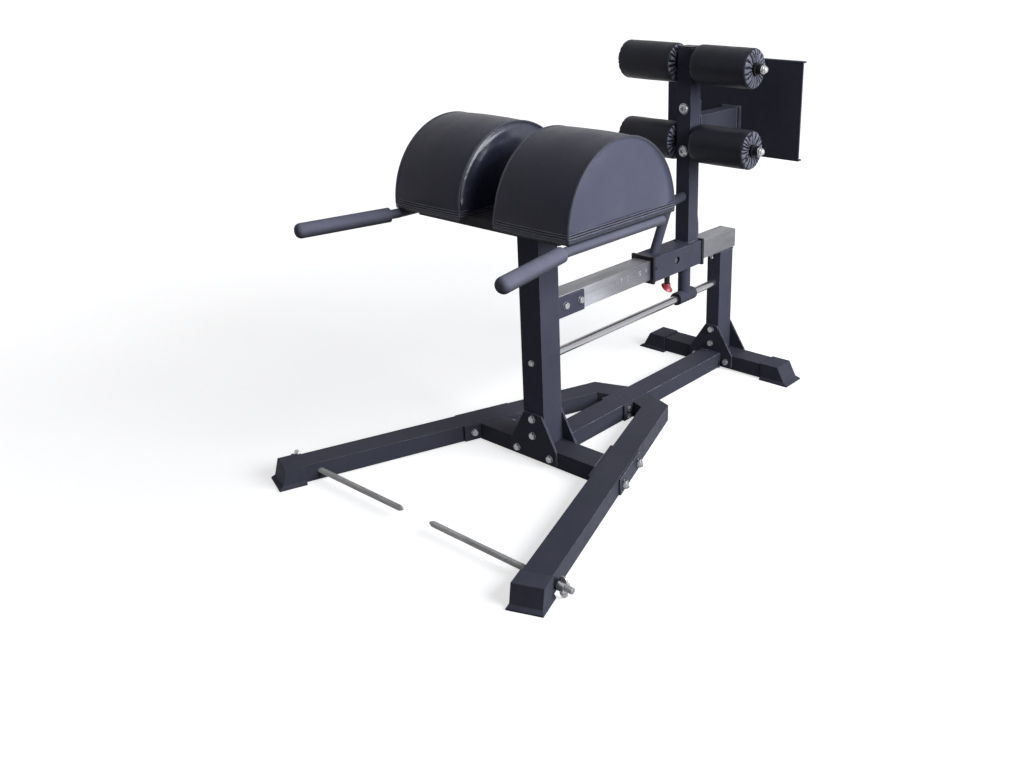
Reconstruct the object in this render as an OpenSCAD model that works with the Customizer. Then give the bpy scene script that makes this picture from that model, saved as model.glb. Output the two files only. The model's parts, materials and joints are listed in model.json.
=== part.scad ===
// Glute ham developer, an assembly of separate pieces.
// Millimetres. Up is +Z. The foot plate end is +X, the pad and grip end is -X.
// The left side of a user who kneels facing the foot plate is +Y.
// Model coordinates put X = 0 on the front face of the front upright.
// Every piece is then shifted by -mid_x, so the finished origin sits under the middle.

/* [Base frame] */
// Width of the base tubes
base_w = 75; // [60:1:90]
// Height of the base tubes
base_h = 50; // [40:1:70]
// Wall of all frame tubes
wall = 3; // [2:0.5:5]
// Thickness of the boot soles under the tubes
sole_t = 5; // [3:0.5:10]
// Distance between the front faces of the two uprights
wheelbase = 892; // [800:1:1000]
// Length of the rear cross tube
rear_cross_l = 518; // [440:1:600]
// Splay angle of the front legs
leg_ang = 20.15; // [12:0.05:26]
// Sideways position of the leg axis beside the front upright
leg_y0 = 266.6; // [240:0.2:300]
// Length of each leg in front of the front upright
leg_front_l = 545; // [450:1:620]
// Length of each leg behind the front upright, up to its bend
leg_rear_l = 436; // [380:1:480]
// Extra inward turn of the leg end that meets the spine
stub_turn = 51.3; // [40:0.1:60]

/* [Uprights and rail] */
// Side of the front upright tube
front_up_w = 75; // [60:1:90]
// Height of the top of the front upright above the floor
front_up_top = 705; // [640:1:760]
// Width of the rear upright across the machine
rear_up_w = 50; // [40:1:70]
// Side of the square rail
rail_w = 60; // [50:1:70]
// Height of the top of the rail
rail_top = 477; // [430:1:520]
// Overhang of the rail behind the rear upright
rail_over = 2; // [0:1:40]
// Diameter of the guide rod
rod_d = 25; // [20:1:32]
// Height of the guide rod axis
rod_z = 301; // [240:1:350]
// Spacing of the locking holes in the rail
lock_pitch = 30; // [25:1:60]
// Number of locking holes in front of the drawn position
lock_front_n = 10; // [4:1:10]
// Number of locking holes behind the drawn position
lock_rear_n = 3; // [0:1:3]

/* [Carriage] */
// Front end of the sliding sleeve tube, at the drawn position
sleeve_x0 = 508; // [460:1:540]
// Length of the sleeve tube
sleeve_l = 250; // [220:1:260]
// Outside of the sleeve tube
sleeve_w = 76; // [72:1:90]
// Wall of the sleeve tube
sleeve_t = 4; // [3:0.5:5]
// Thickness of the end collars
collar_t = 10; // [6:1:14]
// Side of the square mast
mast_w = 50; // [40:1:60]
// Front face of the mast
mast_x0 = 703; // [690:1:708]
// Height of the mast top without its cap
mast_top = 1084; // [1075:1:1120]
// Diameter of the bent handle tube
loop_d = 30; // [25:1:34]
// Diameter of the post under the sleeve
post_d = 40; // [30:1:41]
// Outside diameter of the guide sleeve
guide_od = 42; // [38:1:54]
// Length of the guide sleeve
guide_l = 84; // [64:1:118]
// Diameter of the pop pin
pin_d = 10; // [8:0.5:12]
// Travel of the pop pin into the rail
pin_travel = 12; // [6:1:14]

/* [Foot plate and rollers] */
// Width of the foot plate
foot_w = 504; // [420:1:600]
// Height of the foot plate
foot_h = 306; // [260:1:360]
// Lower edge of the foot plate
foot_z0 = 730; // [700:1:780]
// Front face of the foot plate
foot_x = 970; // [930:1:1010]
// Thickness of the foot plate
foot_t = 5; // [3:0.5:8]
// Depth of the bent lips on the foot plate
foot_lip = 20; // [10:1:30]
// Diameter of the foam rollers
roller_d = 118; // [100:1:150]
// Length of the foam rollers
roller_l = 200; // [160:1:230]
// Gap between a roller and the mast
roller_gap = 9; // [6:1:20]
// Height of the upper roller axis
axle_hi = 1036; // [1000:1:1050]
// Height of the lower roller axis
axle_lo = 800; // [790:1:830]
// Diameter of the roller axles
axle_d = 16; // [12:1:20]
// Length of the bare hub outside each roller
hub_out = 20; // [8:1:30]

/* [Pads and handles] */
// Radius of the half round pads
pad_r = 212; // [170:1:240]
// Crown of the pads across their width
pad_crown = 4; // [2:0.5:10]
// Swell of the pads' side faces
pad_bulge = 4; // [2:0.5:10]
// Diameter of the piping along the pad edges
piping_d = 7; // [4:0.5:10]
// Width of each pad
pad_w = 249; // [200:1:280]
// Half of the gap between the pads
pad_gap = 55; // [30:1:80]
// Middle of the pads behind the front face of the upright
pad_x = 30; // [0:1:80]
// Thickness of the board under the pads
board_t = 26; // [18:1:32]
// Half width of the board
board_y = 245; // [200:1:280]
// Diameter of the handle tubes
bar_d = 25; // [20:1:32]
// Diameter of the rubber grips
grip_d = 39; // [34:1:46]
// Length of the rubber grips
grip_l = 256; // [180:1:300]
// Outward bend of the handles
bar_splay = 12; // [0:1:20]

/* [Pegs] */
// Diameter of the band pegs
peg_d = 16; // [12:1:20]
// Distance of the pegs from the front ends of the legs, along the legs
peg_inset = 78.5; // [72:0.5:120]
// Distance of the peg tips from the middle
peg_tip_y = 50; // [30:1:120]
// Distance of the peg outer ends from the middle
peg_end_y = 522; // [515:1:560]

/* [Fits] */
// Radial clearance of turning and sliding fits
run_fit = 0.05; // [0.02:0.01:0.1]
// Clearance between flat sliding faces
slide_fit = 0.3; // [0.2:0.05:0.6]
// Radial clearance of bolts in their holes
bolt_fit = 0.5; // [0.2:0.1:1]

/* [Hidden] */
$fn = 64;
eps = 0.01;
// longer than any piece, for cutting boxes
far = 3000;
// a bend is this much thicker than the straight tube it joins
bend_over = 0.4;
base_z0 = sole_t;
base_z1 = sole_t + base_h;
base_zm = sole_t + base_h / 2;
plate_t = 6;
// flange plates stop this far short of the tubes' top and bottom
plate_edge = 1;
plate_y = base_w / 2 + 47.5;
plate_top = base_z1 + 95;
front_plate_top = front_up_w / 2 - 5.5;
rear_plate_top = rear_up_w / 2 - 2;
plate_low = base_z0 + 7;
spine_x0 = front_up_w + plate_t;
spine_x1 = wheelbase - plate_t;
rear_x1 = wheelbase + base_w;
// bolts through the corner plates
m12 = 12;
m10 = 10;
cb_hi = base_z1 + 79;
cb_lo = base_z1 + 28;
cb_y = base_w / 2 + 24.5;
// front legs
flange_t = 8;
leg_c = 60;
flange_half = 92;
flange_bolt = 62;
lp_half = 86;
leg_a = [-leg_front_l * cos(leg_ang), leg_y0 + leg_front_l * sin(leg_ang)];
leg_b = [leg_rear_l * cos(leg_ang), leg_y0 - leg_rear_l * sin(leg_ang)];
stub_dir = [cos(leg_ang + stub_turn), -sin(leg_ang + stub_turn)];
leg_c3 = leg_b + 140 * stub_dir;
stub_y = base_w / 2 + flange_t;
stub_x = leg_b[0] + (leg_b[1] - stub_y) / -stub_dir[1] * stub_dir[0];
stub_half = base_w / 2 / sin(leg_ang + stub_turn);
stub_plate = 42;
stub_bolt_x = stub_x - stub_half - stub_plate + 20;
stub_bolt_z = [base_z0 + 12, base_z0 + 35];
// boots: overlap on the tube, foot of the sloped end, floor lip beyond the tube end
front_boot_cover = 50;
front_boot_slope = 15;
front_boot_lip = 25;
rear_boot_cover = 61;
rear_boot_slope = 29;
rear_boot_lip = 44;
boot_t = 3;
boot_flare = 8;
// rail
rail_z0 = rail_top - rail_w;
rail_zm = rail_top - rail_w / 2;
rail_x1 = rear_x1 + rail_over;
br_t = 6;
br_y = rail_w / 2 + slide_fit;
br_l = 108;
br_x = [front_up_w + 29, front_up_w + 92];
saddle_t = 6;
saddle_x0 = wheelbase - 26;
saddle_bolt_x = wheelbase - 13;
// carriage
sleeve_x1 = sleeve_x0 + sleeve_l;
sleeve_in = sleeve_w - 2 * sleeve_t;
sleeve_z0 = rail_zm - sleeve_w / 2;
sleeve_z1 = rail_zm + sleeve_w / 2;
collar_w = sleeve_w + 8;
liner_l = 45;
pin_x = sleeve_x0 + 118;
pin_tip_z = rail_z0 - 1;
barrel_d = 18;
barrel_z0 = sleeve_z0 - 42;
knob_d = 31;
knob_neck = 23;
knob_h = 21;
knob_floor = 5;
knob_top = barrel_z0 + 1;
mast_x1 = mast_x0 + mast_w;
mast_xm = mast_x0 + mast_w / 2;
gusset_h = 112;
gusset_over = 8;
loop_p0 = [sleeve_x0 + 49, sleeve_z1];
loop_p1 = [sleeve_x0 + 122, sleeve_z1 + 140];
loop_p2 = [mast_x0, sleeve_z1 + 148];
loop_r = 55;
post_x = mast_xm - 8;
guide_x1 = post_x + guide_l / 2;
guide_x0 = guide_x1 - guide_l;
guide_id = guide_od - 2 * wall;
gb_t = 4;
gb_l = 28;
// strut
strut_w = 50;
strut_h = 75;
strut_z0 = axle_lo + 4;
strut_x0 = mast_x1 + 6;
strut_x1 = foot_x - 8;
mb_z = [axle_lo - 25, axle_hi - 132];
mb_d = 12;
mb_head_d = 34;
mb_head_h = 6;
mb_dome_r = 18;
// rollers
roll_y0 = mast_w / 2 + roller_gap;
roll_y1 = roll_y0 + roller_l;
core_d = axle_d + 12;
hub_d = core_d + 10;
hub_t = 5;
hub_y1 = roll_y1 + hub_out;
cap_hex_t = 7;
cap_flats = axle_d + 6;
cap_r = axle_d / 2 + 2;
nut_depth = cap_hex_t + 1;
axle_y = hub_y1 + 0.5 + nut_depth;
// pads
top_t = 6;
board_z0 = front_up_top + top_t;
board_z1 = board_z0 + board_t;
pad_rise = 4;
pad_axis_z = board_z1 + pad_rise;
pad_y1 = pad_gap + pad_w;
board_front = 180;
board_back = 190;
board_x0 = pad_x - board_front;
board_x1 = pad_x + board_back;
// top plate of the front upright and its bolts
top_x0 = -45;
top_x1 = 120;
top_y = 100;
tp_in = 20;
tp_x = [top_x0 + tp_in, top_x1 - tp_in];
tp_y = top_y - tp_in;
bar_in = 9;
bar_drop = 12;
bar_front = 212;
bar_back = 162;
bar_y = pad_y1 - bar_in;
bar_z = board_z1 - bar_drop - bar_d / 2;
bar_x1 = pad_x + bar_back;
bar_x0 = pad_x - bar_front;
// flat strip that holds a handle tube under its pad
strip_in = 24;
strip_out = 2;
strip_sink = 2.5;
bar_bend_r = 60;
grip_s0 = 24;
// pegs
peg_z = base_zm;
peg_x = (leg_front_l - peg_inset) * cos(leg_ang);
leg_out_c = (leg_y0 + base_w / 2 / cos(leg_ang)) + peg_x * tan(leg_ang);
leg_in_c = (leg_y0 - base_w / 2 / cos(leg_ang)) + peg_x * tan(leg_ang);
spacer_y = leg_out_c + 14;
wing_y0 = spacer_y + 0.3;
wing_t = 20;
spacer_d = 26;
// middle of the whole part, from the lips of the front boots to the lips of the foot plate
mid_x = (foot_x + foot_lip
  - (leg_front_l + front_boot_lip) * cos(leg_ang) - (base_w / 2 + boot_flare) * sin(leg_ang)) / 2;

// Which node to draw

steel_c = [0.24, 0.24, 0.29];
zinc_c = [0.62, 0.62, 0.64];
rubber_c = [0.12, 0.12, 0.13];
vinyl_c = [0.14, 0.14, 0.17];

// Shared helpers
module placed() {
  translate([-mid_x, 0, 0]) children();
}

module right_side() {
  mirror([0, 1, 0]) children();
}

module along_x(x0, x1, d) {
  translate([x0, 0, 0]) rotate([0, 90, 0]) cylinder(h = x1 - x0, d = d);
}

module along_y(y0, y1, d) {
  translate([0, y0, 0]) rotate([-90, 0, 0]) cylinder(h = y1 - y0, d = d);
}

module box_from(a, b) {
  translate(a) cube(b - a);
}

// Frame of a leg: x runs along the leg to the rear, y points outwards
module leg_frame() {
  translate([0, leg_y0, 0]) rotate([0, 0, -leg_ang]) children();
}

function nrm(d) = [-d[1], d[0]] / norm(d);
function mitre_at(a, b, c, h) =
  let (n1 = nrm(b - a), n2 = nrm(c - b)) b + h * (n1 + n2) / (1 + n1 * n2);
function strip(a, b, c, h) = [
  a + h * nrm(b - a), mitre_at(a, b, c, h), c + h * nrm(c - b),
  c - h * nrm(c - b), mitre_at(a, b, c, -h), a - h * nrm(b - a)
];

// Base frame
module corner_plate(x0, top_y) {
  translate([x0, 0, 0]) difference() {
    rotate([90, 0, 90]) linear_extrude(plate_t) polygon([
      [-plate_y, plate_low], [plate_y, plate_low], [plate_y, base_z1],
      [top_y, plate_top], [-top_y, plate_top], [-plate_y, base_z1]
    ]);
    corner_holes(-1, plate_t + 1);
  }
}

module corner_holes(x0, x1) {
  for (z = [cb_lo, cb_hi]) translate([0, 0, z]) along_x(x0, x1, m12 + 2 * bolt_fit);
  for (s = [-1, 1]) translate([0, s * cb_y, base_zm]) along_x(x0, x1, m12 + 2 * bolt_fit);
}

module spine() {
  color(steel_c) placed() {
    difference() {
      box_from([spine_x0 - eps, -base_w / 2, base_z0], [spine_x1 + eps, base_w / 2, base_z1]);
      box_from([spine_x0, -base_w / 2 + wall, base_z0 + wall],
        [spine_x1, base_w / 2 - wall, base_z1 - wall]);
      for (z = stub_bolt_z)
        translate([stub_bolt_x, 0, z]) along_y(-base_w, base_w, m10 + 2 * bolt_fit);
    }
    corner_plate(front_up_w, front_plate_top);
    corner_plate(spine_x1, rear_plate_top);
  }
}

module front_backing_plate() {
  color(steel_c) placed() corner_plate(-plate_t, front_plate_top);
}

module rear_backing_plate() {
  color(steel_c) placed() corner_plate(rear_x1, rear_plate_top);
}

module leg_bolt_holes(d) {
  leg_frame() for (s = [-1, 1])
    translate([leg_c + s * flange_bolt, 0, base_zm]) along_y(-70, 70, d);
}

// Where a line across the machine at x meets the flange of the leg
function flange_y(x) = leg_y0 - (base_w / 2 + flange_t + x * sin(leg_ang)) / cos(leg_ang);

module cross_body(inset, over) {
  x0 = inset;
  x1 = base_w - inset;
  translate([0, 0, base_z0 + inset]) linear_extrude(base_h - 2 * inset) polygon([
    [x0, -flange_y(x0) - over], [x1, -flange_y(x1) - over],
    [x1, flange_y(x1) + over], [x0, flange_y(x0) + over]
  ]);
}

module leg_flange() {
  leg_frame() box_from([leg_c - flange_half, -base_w / 2 - flange_t, base_z0 + plate_edge],
    [leg_c + flange_half, -base_w / 2, base_z1 - plate_edge]);
}

module front_cross_tube() {
  color(steel_c) placed() difference() {
    union() {
      difference() {
        cross_body(0, eps);
        cross_body(wall, 1);
      }
      for (s = [0, 1]) mirror([0, s, 0]) leg_flange();
    }
    for (s = [0, 1]) mirror([0, s, 0]) leg_bolt_holes(m12 + 2 * bolt_fit);
    for (s = [-1, 1]) translate([0, s * cb_y, base_zm]) along_x(-1, base_w + 1, m12 + 2 * bolt_fit);
  }
}

module rear_cross_tube() {
  color(steel_c) placed() difference() {
    box_from([wheelbase, -rear_cross_l / 2, base_z0], [rear_x1, rear_cross_l / 2, base_z1]);
    box_from([wheelbase + wall, -rear_cross_l / 2 - 1, base_z0 + wall],
      [rear_x1 - wall, rear_cross_l / 2 + 1, base_z1 - wall]);
    for (s = [-1, 1])
      translate([0, s * cb_y, base_zm]) along_x(wheelbase - 1, rear_x1 + 1, m12 + 2 * bolt_fit);
  }
}

module leg_shape() {
  difference() {
    intersection() {
      difference() {
        translate([0, 0, base_z0]) linear_extrude(base_h)
          polygon(strip(leg_a, leg_b, leg_c3, base_w / 2));
        translate([0, 0, base_z0 + wall]) linear_extrude(base_h - 2 * wall)
          polygon(strip(leg_a + [-1, tan(leg_ang)], leg_b, leg_c3, base_w / 2 - wall));
      }
      box_from([-far, stub_y - eps, 0], [far, far, far]);
    }
    leg_bolt_holes(m12 + 2 * bolt_fit);
    translate([-peg_x, 0, peg_z]) along_y(leg_in_c - 60, leg_out_c + 60, peg_d + 2 * run_fit);
  }
  difference() {
    box_from([stub_x - stub_half - stub_plate, base_w / 2, base_z0],
      [stub_x + stub_half + 2, stub_y, base_z1]);
    for (z = stub_bolt_z)
      translate([stub_bolt_x, 0, z]) along_y(0, 100, m10 + 2 * bolt_fit);
  }
}

module left_leg() {
  color(steel_c) placed() leg_shape();
}

module right_leg() {
  color(steel_c) placed() right_side() leg_shape();
}

module leg_plate() {
  difference() {
    leg_frame() box_from([leg_c - lp_half, base_w / 2, base_z0 + plate_edge],
      [leg_c + lp_half, base_w / 2 + plate_t, base_z1 - plate_edge]);
    leg_bolt_holes(m12 + 2 * bolt_fit);
  }
}

module left_leg_plate() {
  color(steel_c) placed() leg_plate();
}

module right_leg_plate() {
  color(steel_c) placed() right_side() leg_plate();
}

// Boots: x = 0 is the tube end, x points out of the tube
module boot(cover, slope, lip) {
  w0 = base_w / 2 + boot_t;
  w1 = base_w / 2 + boot_flare;
  difference() {
    intersection() {
      translate([0, 60, 0]) rotate([90, 0, 0]) linear_extrude(120) polygon([
        [-cover, 0], [lip, 0], [lip, 4], [slope, 11],
        [boot_t, base_z1 + boot_t], [-cover, base_z1 + boot_t]
      ]);
      translate([-200, 0, 0]) rotate([90, 0, 90]) linear_extrude(400) polygon([
        [-w1, 0], [w1, 0], [w1, 4], [w0, 12],
        [w0, base_z1 + boot_t], [-w0, base_z1 + boot_t], [-w0, 12], [-w1, 4]
      ]);
    }
    box_from([-cover - 1, -base_w / 2, base_z0], [0, base_w / 2, base_z1]);
  }
}

module leg_boot() {
  leg_frame() translate([-leg_front_l, 0, 0]) rotate([0, 0, 180])
    boot(front_boot_cover, front_boot_slope, front_boot_lip);
}

module left_front_boot() {
  color(rubber_c) placed() leg_boot();
}

module right_front_boot() {
  color(rubber_c) placed() right_side() leg_boot();
}

module rear_boot() {
  translate([wheelbase + base_w / 2, rear_cross_l / 2, 0]) rotate([0, 0, 90])
    boot(rear_boot_cover, rear_boot_slope, rear_boot_lip);
}

module left_rear_boot() {
  color(rubber_c) placed() rear_boot();
}

module right_rear_boot() {
  color(rubber_c) placed() right_side() rear_boot();
}

// Uprights, rail and guide rod
module front_upright() {
  color(steel_c) placed() difference() {
    union() {
      difference() {
        box_from([0, -front_up_w / 2, base_z1], [front_up_w, front_up_w / 2, front_up_top]);
        box_from([wall, -front_up_w / 2 + wall, base_z1 - 1],
          [front_up_w - wall, front_up_w / 2 - wall, front_up_top + eps]);
      }
      box_from([top_x0, -top_y, front_up_top], [top_x1, top_y, front_up_top + top_t]);
      for (s = [0, 1]) mirror([0, s, 0])
        box_from([front_up_w - eps, br_y, rail_z0 - 2],
          [front_up_w + br_l, br_y + br_t, rail_top - 3]);
    }
    for (z = [cb_lo, cb_hi])
      translate([0, 0, z]) along_x(-1, front_up_w + 1, m12 + 2 * bolt_fit);
    translate([0, 0, rod_z]) along_x(-1, front_up_w + 1, m10 + 2 * bolt_fit);
    for (x = br_x) translate([x, 0, rail_zm]) along_y(-50, 50, m12 + 2 * bolt_fit);
    for (x = tp_x, s = [-1, 1])
      translate([x, s * tp_y, front_up_top - 1]) cylinder(h = top_t + 2, d = m10 + 2 * bolt_fit);
  }
}

module rear_upright() {
  color(steel_c) placed() difference() {
    union() {
      difference() {
        box_from([wheelbase, -rear_up_w / 2, base_z1], [rear_x1, rear_up_w / 2, rail_z0 - saddle_t]);
        box_from([wheelbase + wall, -rear_up_w / 2 + wall, base_z1 - 1],
          [rear_x1 - wall, rear_up_w / 2 - wall, rail_z0 - saddle_t + eps]);
      }
      box_from([saddle_x0, -rear_up_w / 2, rail_z0 - saddle_t], [rear_x1, rear_up_w / 2, rail_z0]);
    }
    for (z = [cb_lo, cb_hi])
      translate([0, 0, z]) along_x(wheelbase - 1, rear_x1 + 1, m12 + 2 * bolt_fit);
    translate([0, 0, rod_z]) along_x(wheelbase - 1, rear_x1 + 1, m10 + 2 * bolt_fit);
    translate([saddle_bolt_x, 0, rail_z0 - saddle_t - 1])
      cylinder(h = saddle_t + 2, d = m10 + 2 * bolt_fit);
  }
}

module rail() {
  color(zinc_c) placed() difference() {
    box_from([front_up_w, -rail_w / 2, rail_z0], [rail_x1, rail_w / 2, rail_top]);
    box_from([front_up_w - 1, -rail_w / 2 + wall, rail_z0 + wall],
      [rail_x1 + 1, rail_w / 2 - wall, rail_top - wall]);
    for (x = br_x) translate([x, 0, rail_zm]) along_y(-50, 50, m12 + 2 * bolt_fit);
    translate([saddle_bolt_x, 0, rail_z0 - 1]) cylinder(h = wall + 2, d = m10 + 2 * bolt_fit);
    for (i = [-lock_front_n : lock_rear_n])
      translate([pin_x + i * lock_pitch, 0, rail_z0 - 1]) cylinder(h = wall + 2, d = pin_d + 1);
  }
}

module rail_plug() {
  color(rubber_c) placed() {
    box_from([rail_x1, -rail_w / 2 + 0.5, rail_z0 + 0.5], [rail_x1 + 3, rail_w / 2 - 0.5, rail_top - 0.5]);
    box_from([rail_x1 - 25, -rail_w / 2 + wall + 0.1, rail_z0 + wall + 0.1],
      [rail_x1 + eps, rail_w / 2 - wall - 0.1, rail_top - wall - 0.1]);
  }
}

module guide_rod() {
  color([0.8, 0.8, 0.82]) placed() translate([0, 0, rod_z]) difference() {
    along_x(front_up_w, wheelbase, rod_d);
    along_x(front_up_w - 1, front_up_w + 32, m10 + 0.2);
    along_x(wheelbase - 32, wheelbase + 1, m10 + 0.2);
  }
}

// Carriage
module sleeve() {
  color(steel_c) placed() difference() {
    box_from([sleeve_x0, -sleeve_w / 2, sleeve_z0], [sleeve_x1, sleeve_w / 2, sleeve_z1]);
    box_from([sleeve_x0 - 1, -sleeve_in / 2, rail_zm - sleeve_in / 2],
      [sleeve_x1 + 1, sleeve_in / 2, rail_zm + sleeve_in / 2]);
    translate([pin_x, 0, sleeve_z0 - 1]) cylinder(h = sleeve_t + 2, d = pin_d + 1);
    translate([pin_x + 2, 0, rail_zm + 3]) along_y(-sleeve_w, 0, 24);
  }
}

module collar(x0, dir) {
  translate([x0, 0, rail_zm]) mirror([dir > 0 ? 0 : 1, 0, 0]) difference() {
    union() {
      box_from([0, -collar_w / 2, -collar_w / 2], [collar_t, collar_w / 2, collar_w / 2]);
      box_from([-liner_l, -sleeve_in / 2, -sleeve_in / 2], [eps, sleeve_in / 2, sleeve_in / 2]);
    }
    box_from([-liner_l - 1, -rail_w / 2 - slide_fit, -rail_w / 2 - slide_fit],
      [collar_t + 1, rail_w / 2 + slide_fit, rail_w / 2 + slide_fit]);
  }
}

module front_collar() {
  color(rubber_c) placed() collar(sleeve_x0, -1);
}

module rear_collar() {
  color(rubber_c) placed() collar(sleeve_x1, 1);
}

module mast() {
  color(steel_c) placed() {
    difference() {
      box_from([mast_x0, -mast_w / 2, sleeve_z1], [mast_x1, mast_w / 2, mast_top]);
      box_from([mast_x0 + wall, -mast_w / 2 + wall, sleeve_z1 - 1],
        [mast_x1 - wall, mast_w / 2 - wall, mast_top + 1]);
      for (z = [axle_lo, axle_hi])
        translate([mast_xm, 0, z]) along_y(-mast_w, mast_w, axle_d + 0.2);
      for (z = mb_z)
        translate([0, 0, z]) along_x(mast_x0 - 1, mast_x1 + 1, mb_d + 2 * bolt_fit);
    }
    translate([0, mast_w / 2 - 4, 0]) rotate([90, 0, 0]) linear_extrude(mast_w - 8) polygon([
      [mast_x1 - eps, sleeve_z1], [sleeve_x1, sleeve_z1], [sleeve_x1, sleeve_z1 + 5],
      [sleeve_x1 + gusset_over, sleeve_z1 + 13], [sleeve_x1 + gusset_over - 2, sleeve_z1 + gusset_h / 2],
      [mast_x1 - eps, sleeve_z1 + gusset_h]
    ]);
  }
}

module mast_cap() {
  color(rubber_c) placed() {
    box_from([mast_x0, -mast_w / 2, mast_top], [mast_x1, mast_w / 2, mast_top + 4]);
    box_from([mast_x0 + wall + 0.1, -mast_w / 2 + wall + 0.1, mast_top - 16],
      [mast_x1 - wall - 0.1, mast_w / 2 - wall - 0.1, mast_top + eps]);
  }
}

// Round tube through three points in the XZ plane with one bend
module bent_tube(p0, p1, p2, r, d) {
  a0 = atan2(p1[1] - p0[1], p1[0] - p0[0]);
  a1 = atan2(p2[1] - p1[1], p2[0] - p1[0]);
  turn = a0 - a1;
  cut = r * tan(turn / 2);
  l0 = norm(p1 - p0) - cut;
  l1 = norm(p2 - p1) - cut;
  translate([p0[0], 0, p0[1]]) rotate([0, -a0, 0]) {
    along_x(-20, l0 + 1, d);
    translate([l0, 0, 0]) {
      translate([0, 0, -r]) rotate([90, 0, 0]) rotate([0, 0, 90 - turn])
        rotate_extrude(angle = turn) translate([r, 0]) circle(d = d + bend_over);
      translate([r * sin(turn), 0, -r + r * cos(turn)]) rotate([0, turn, 0]) along_x(-1, l1 + 20, d);
    }
  }
}

module loop_handle() {
  color(steel_c) placed() intersection() {
    bent_tube(loop_p0, loop_p1, loop_p2, loop_r, loop_d);
    box_from([0, -far, sleeve_z1], [mast_x0, far, far]);
  }
}

module guide_post() {
  color(steel_c) placed() difference() {
    union() {
      translate([post_x, 0, rod_z]) cylinder(h = sleeve_z0 - rod_z, d = post_d);
      translate([0, 0, rod_z]) along_x(guide_x0, guide_x1, guide_od);
    }
    translate([0, 0, rod_z]) along_x(guide_x0 - 1, guide_x1 + 1, guide_id);
  }
}

module guide_bush(x0, dir) {
  translate([x0, 0, rod_z]) mirror([dir > 0 ? 0 : 1, 0, 0]) difference() {
    union() {
      along_x(0, gb_t, guide_od - 1);
      along_x(-gb_l, eps, guide_id - 2 * run_fit);
    }
    along_x(-gb_l - 1, gb_t + 1, rod_d + 2 * run_fit);
  }
}

module front_guide_bush() {
  color(rubber_c) placed() guide_bush(guide_x0, -1);
}

module rear_guide_bush() {
  color(rubber_c) placed() guide_bush(guide_x1, 1);
}

module pin_barrel() {
  color(rubber_c) placed() translate([pin_x, 0, barrel_z0]) difference() {
    cylinder(h = sleeve_z0 - barrel_z0, d = barrel_d);
    translate([0, 0, -1]) cylinder(h = 60, d = pin_d + 2 * run_fit);
  }
}

module pin_plunger() {
  color(zinc_c) placed() translate([pin_x, 0, knob_top - knob_h + knob_floor])
    cylinder(h = pin_tip_z - knob_top + knob_h - knob_floor, d = pin_d);
}

// Flared pull knob, hollow so that it slides over the barrel
module pin_knob() {
  color([0.72, 0.12, 0.16]) placed() translate([pin_x, 0, knob_top - knob_h]) difference() {
    rotate_extrude() polygon([
      [0, 0], [knob_d / 2 - 1.5, 0], [knob_d / 2, 1.5], [knob_d / 2, 4.5],
      [knob_neck / 2 + 1, 9], [knob_neck / 2, 13], [knob_neck / 2, knob_h], [0, knob_h]
    ]);
    translate([0, 0, knob_floor]) cylinder(h = knob_h, d = pin_d);
    translate([0, 0, knob_h - pin_travel - 2]) cylinder(h = knob_h, d = barrel_d + 1.4);
  }
}

module strut() {
  zf = [mb_z[0] - 22, mb_z[1] + 22];
  color(steel_c) placed() difference() {
    union() {
      difference() {
        box_from([strut_x0 - eps, -strut_w / 2, strut_z0], [strut_x1, strut_w / 2, strut_z0 + strut_h]);
        box_from([strut_x0 - 1, -strut_w / 2 + wall, strut_z0 + wall],
          [strut_x1 + 1, strut_w / 2 - wall, strut_z0 + strut_h - wall]);
      }
      box_from([mast_x1, -mast_w / 2, zf[0]], [strut_x0, mast_w / 2, zf[1]]);
      box_from([strut_x1 - eps, -strut_w / 2 - 9, strut_z0 - 2],
        [foot_x, strut_w / 2 + 9, strut_z0 + strut_h + 2]);
    }
    for (z = mb_z)
      translate([0, 0, z]) along_x(mast_x1 - 1, strut_x0 + 1, mb_d + 2 * bolt_fit);
  }
}

module foot_plate() {
  color(steel_c) placed() {
    box_from([foot_x, -foot_w / 2, foot_z0], [foot_x + foot_t, foot_w / 2, foot_z0 + foot_h]);
    for (z = [foot_z0, foot_z0 + foot_h - foot_t])
      box_from([foot_x + foot_t - eps, -foot_w / 2, z], [foot_x + foot_lip, foot_w / 2, z + foot_t]);
  }
}

// Rollers
module axle(z) {
  translate([mast_xm, 0, z]) along_y(-axle_y, axle_y, axle_d);
}

module upper_axle() {
  color(zinc_c) placed() axle(axle_hi);
}

module lower_axle() {
  color(zinc_c) placed() axle(axle_lo);
}

module core(z) {
  translate([mast_xm, 0, z]) difference() {
    union() {
      along_y(roll_y0 - hub_t, hub_y1, core_d);
      along_y(roll_y0 - hub_t, roll_y0, hub_d);
      along_y(roll_y1, roll_y1 + hub_t, hub_d);
    }
    along_y(0, hub_y1 + 1, axle_d + 2 * run_fit);
  }
}

module foam(z) {
  rr = 12;
  translate([mast_xm, 0, z]) rotate([-90, 0, 0]) rotate_extrude() {
    difference() {
      union() {
        translate([core_d / 2, roll_y0]) square([roller_d / 2 - rr - core_d / 2, roller_l]);
        translate([roller_d / 2 - rr - eps, roll_y0 + rr]) square([rr + eps, roller_l - 2 * rr]);
        for (y = [roll_y0 + rr, roll_y1 - rr]) translate([roller_d / 2 - rr, y]) circle(r = rr);
      }
    }
  }
}

module upper_left_core() {
  color(rubber_c) placed() core(axle_hi);
}

module upper_right_core() {
  color(rubber_c) placed() right_side() core(axle_hi);
}

module lower_left_core() {
  color(rubber_c) placed() core(axle_lo);
}

module lower_right_core() {
  color(rubber_c) placed() right_side() core(axle_lo);
}

module upper_left_foam() {
  color(vinyl_c) placed() foam(axle_hi);
}

module upper_right_foam() {
  color(vinyl_c) placed() right_side() foam(axle_hi);
}

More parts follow.
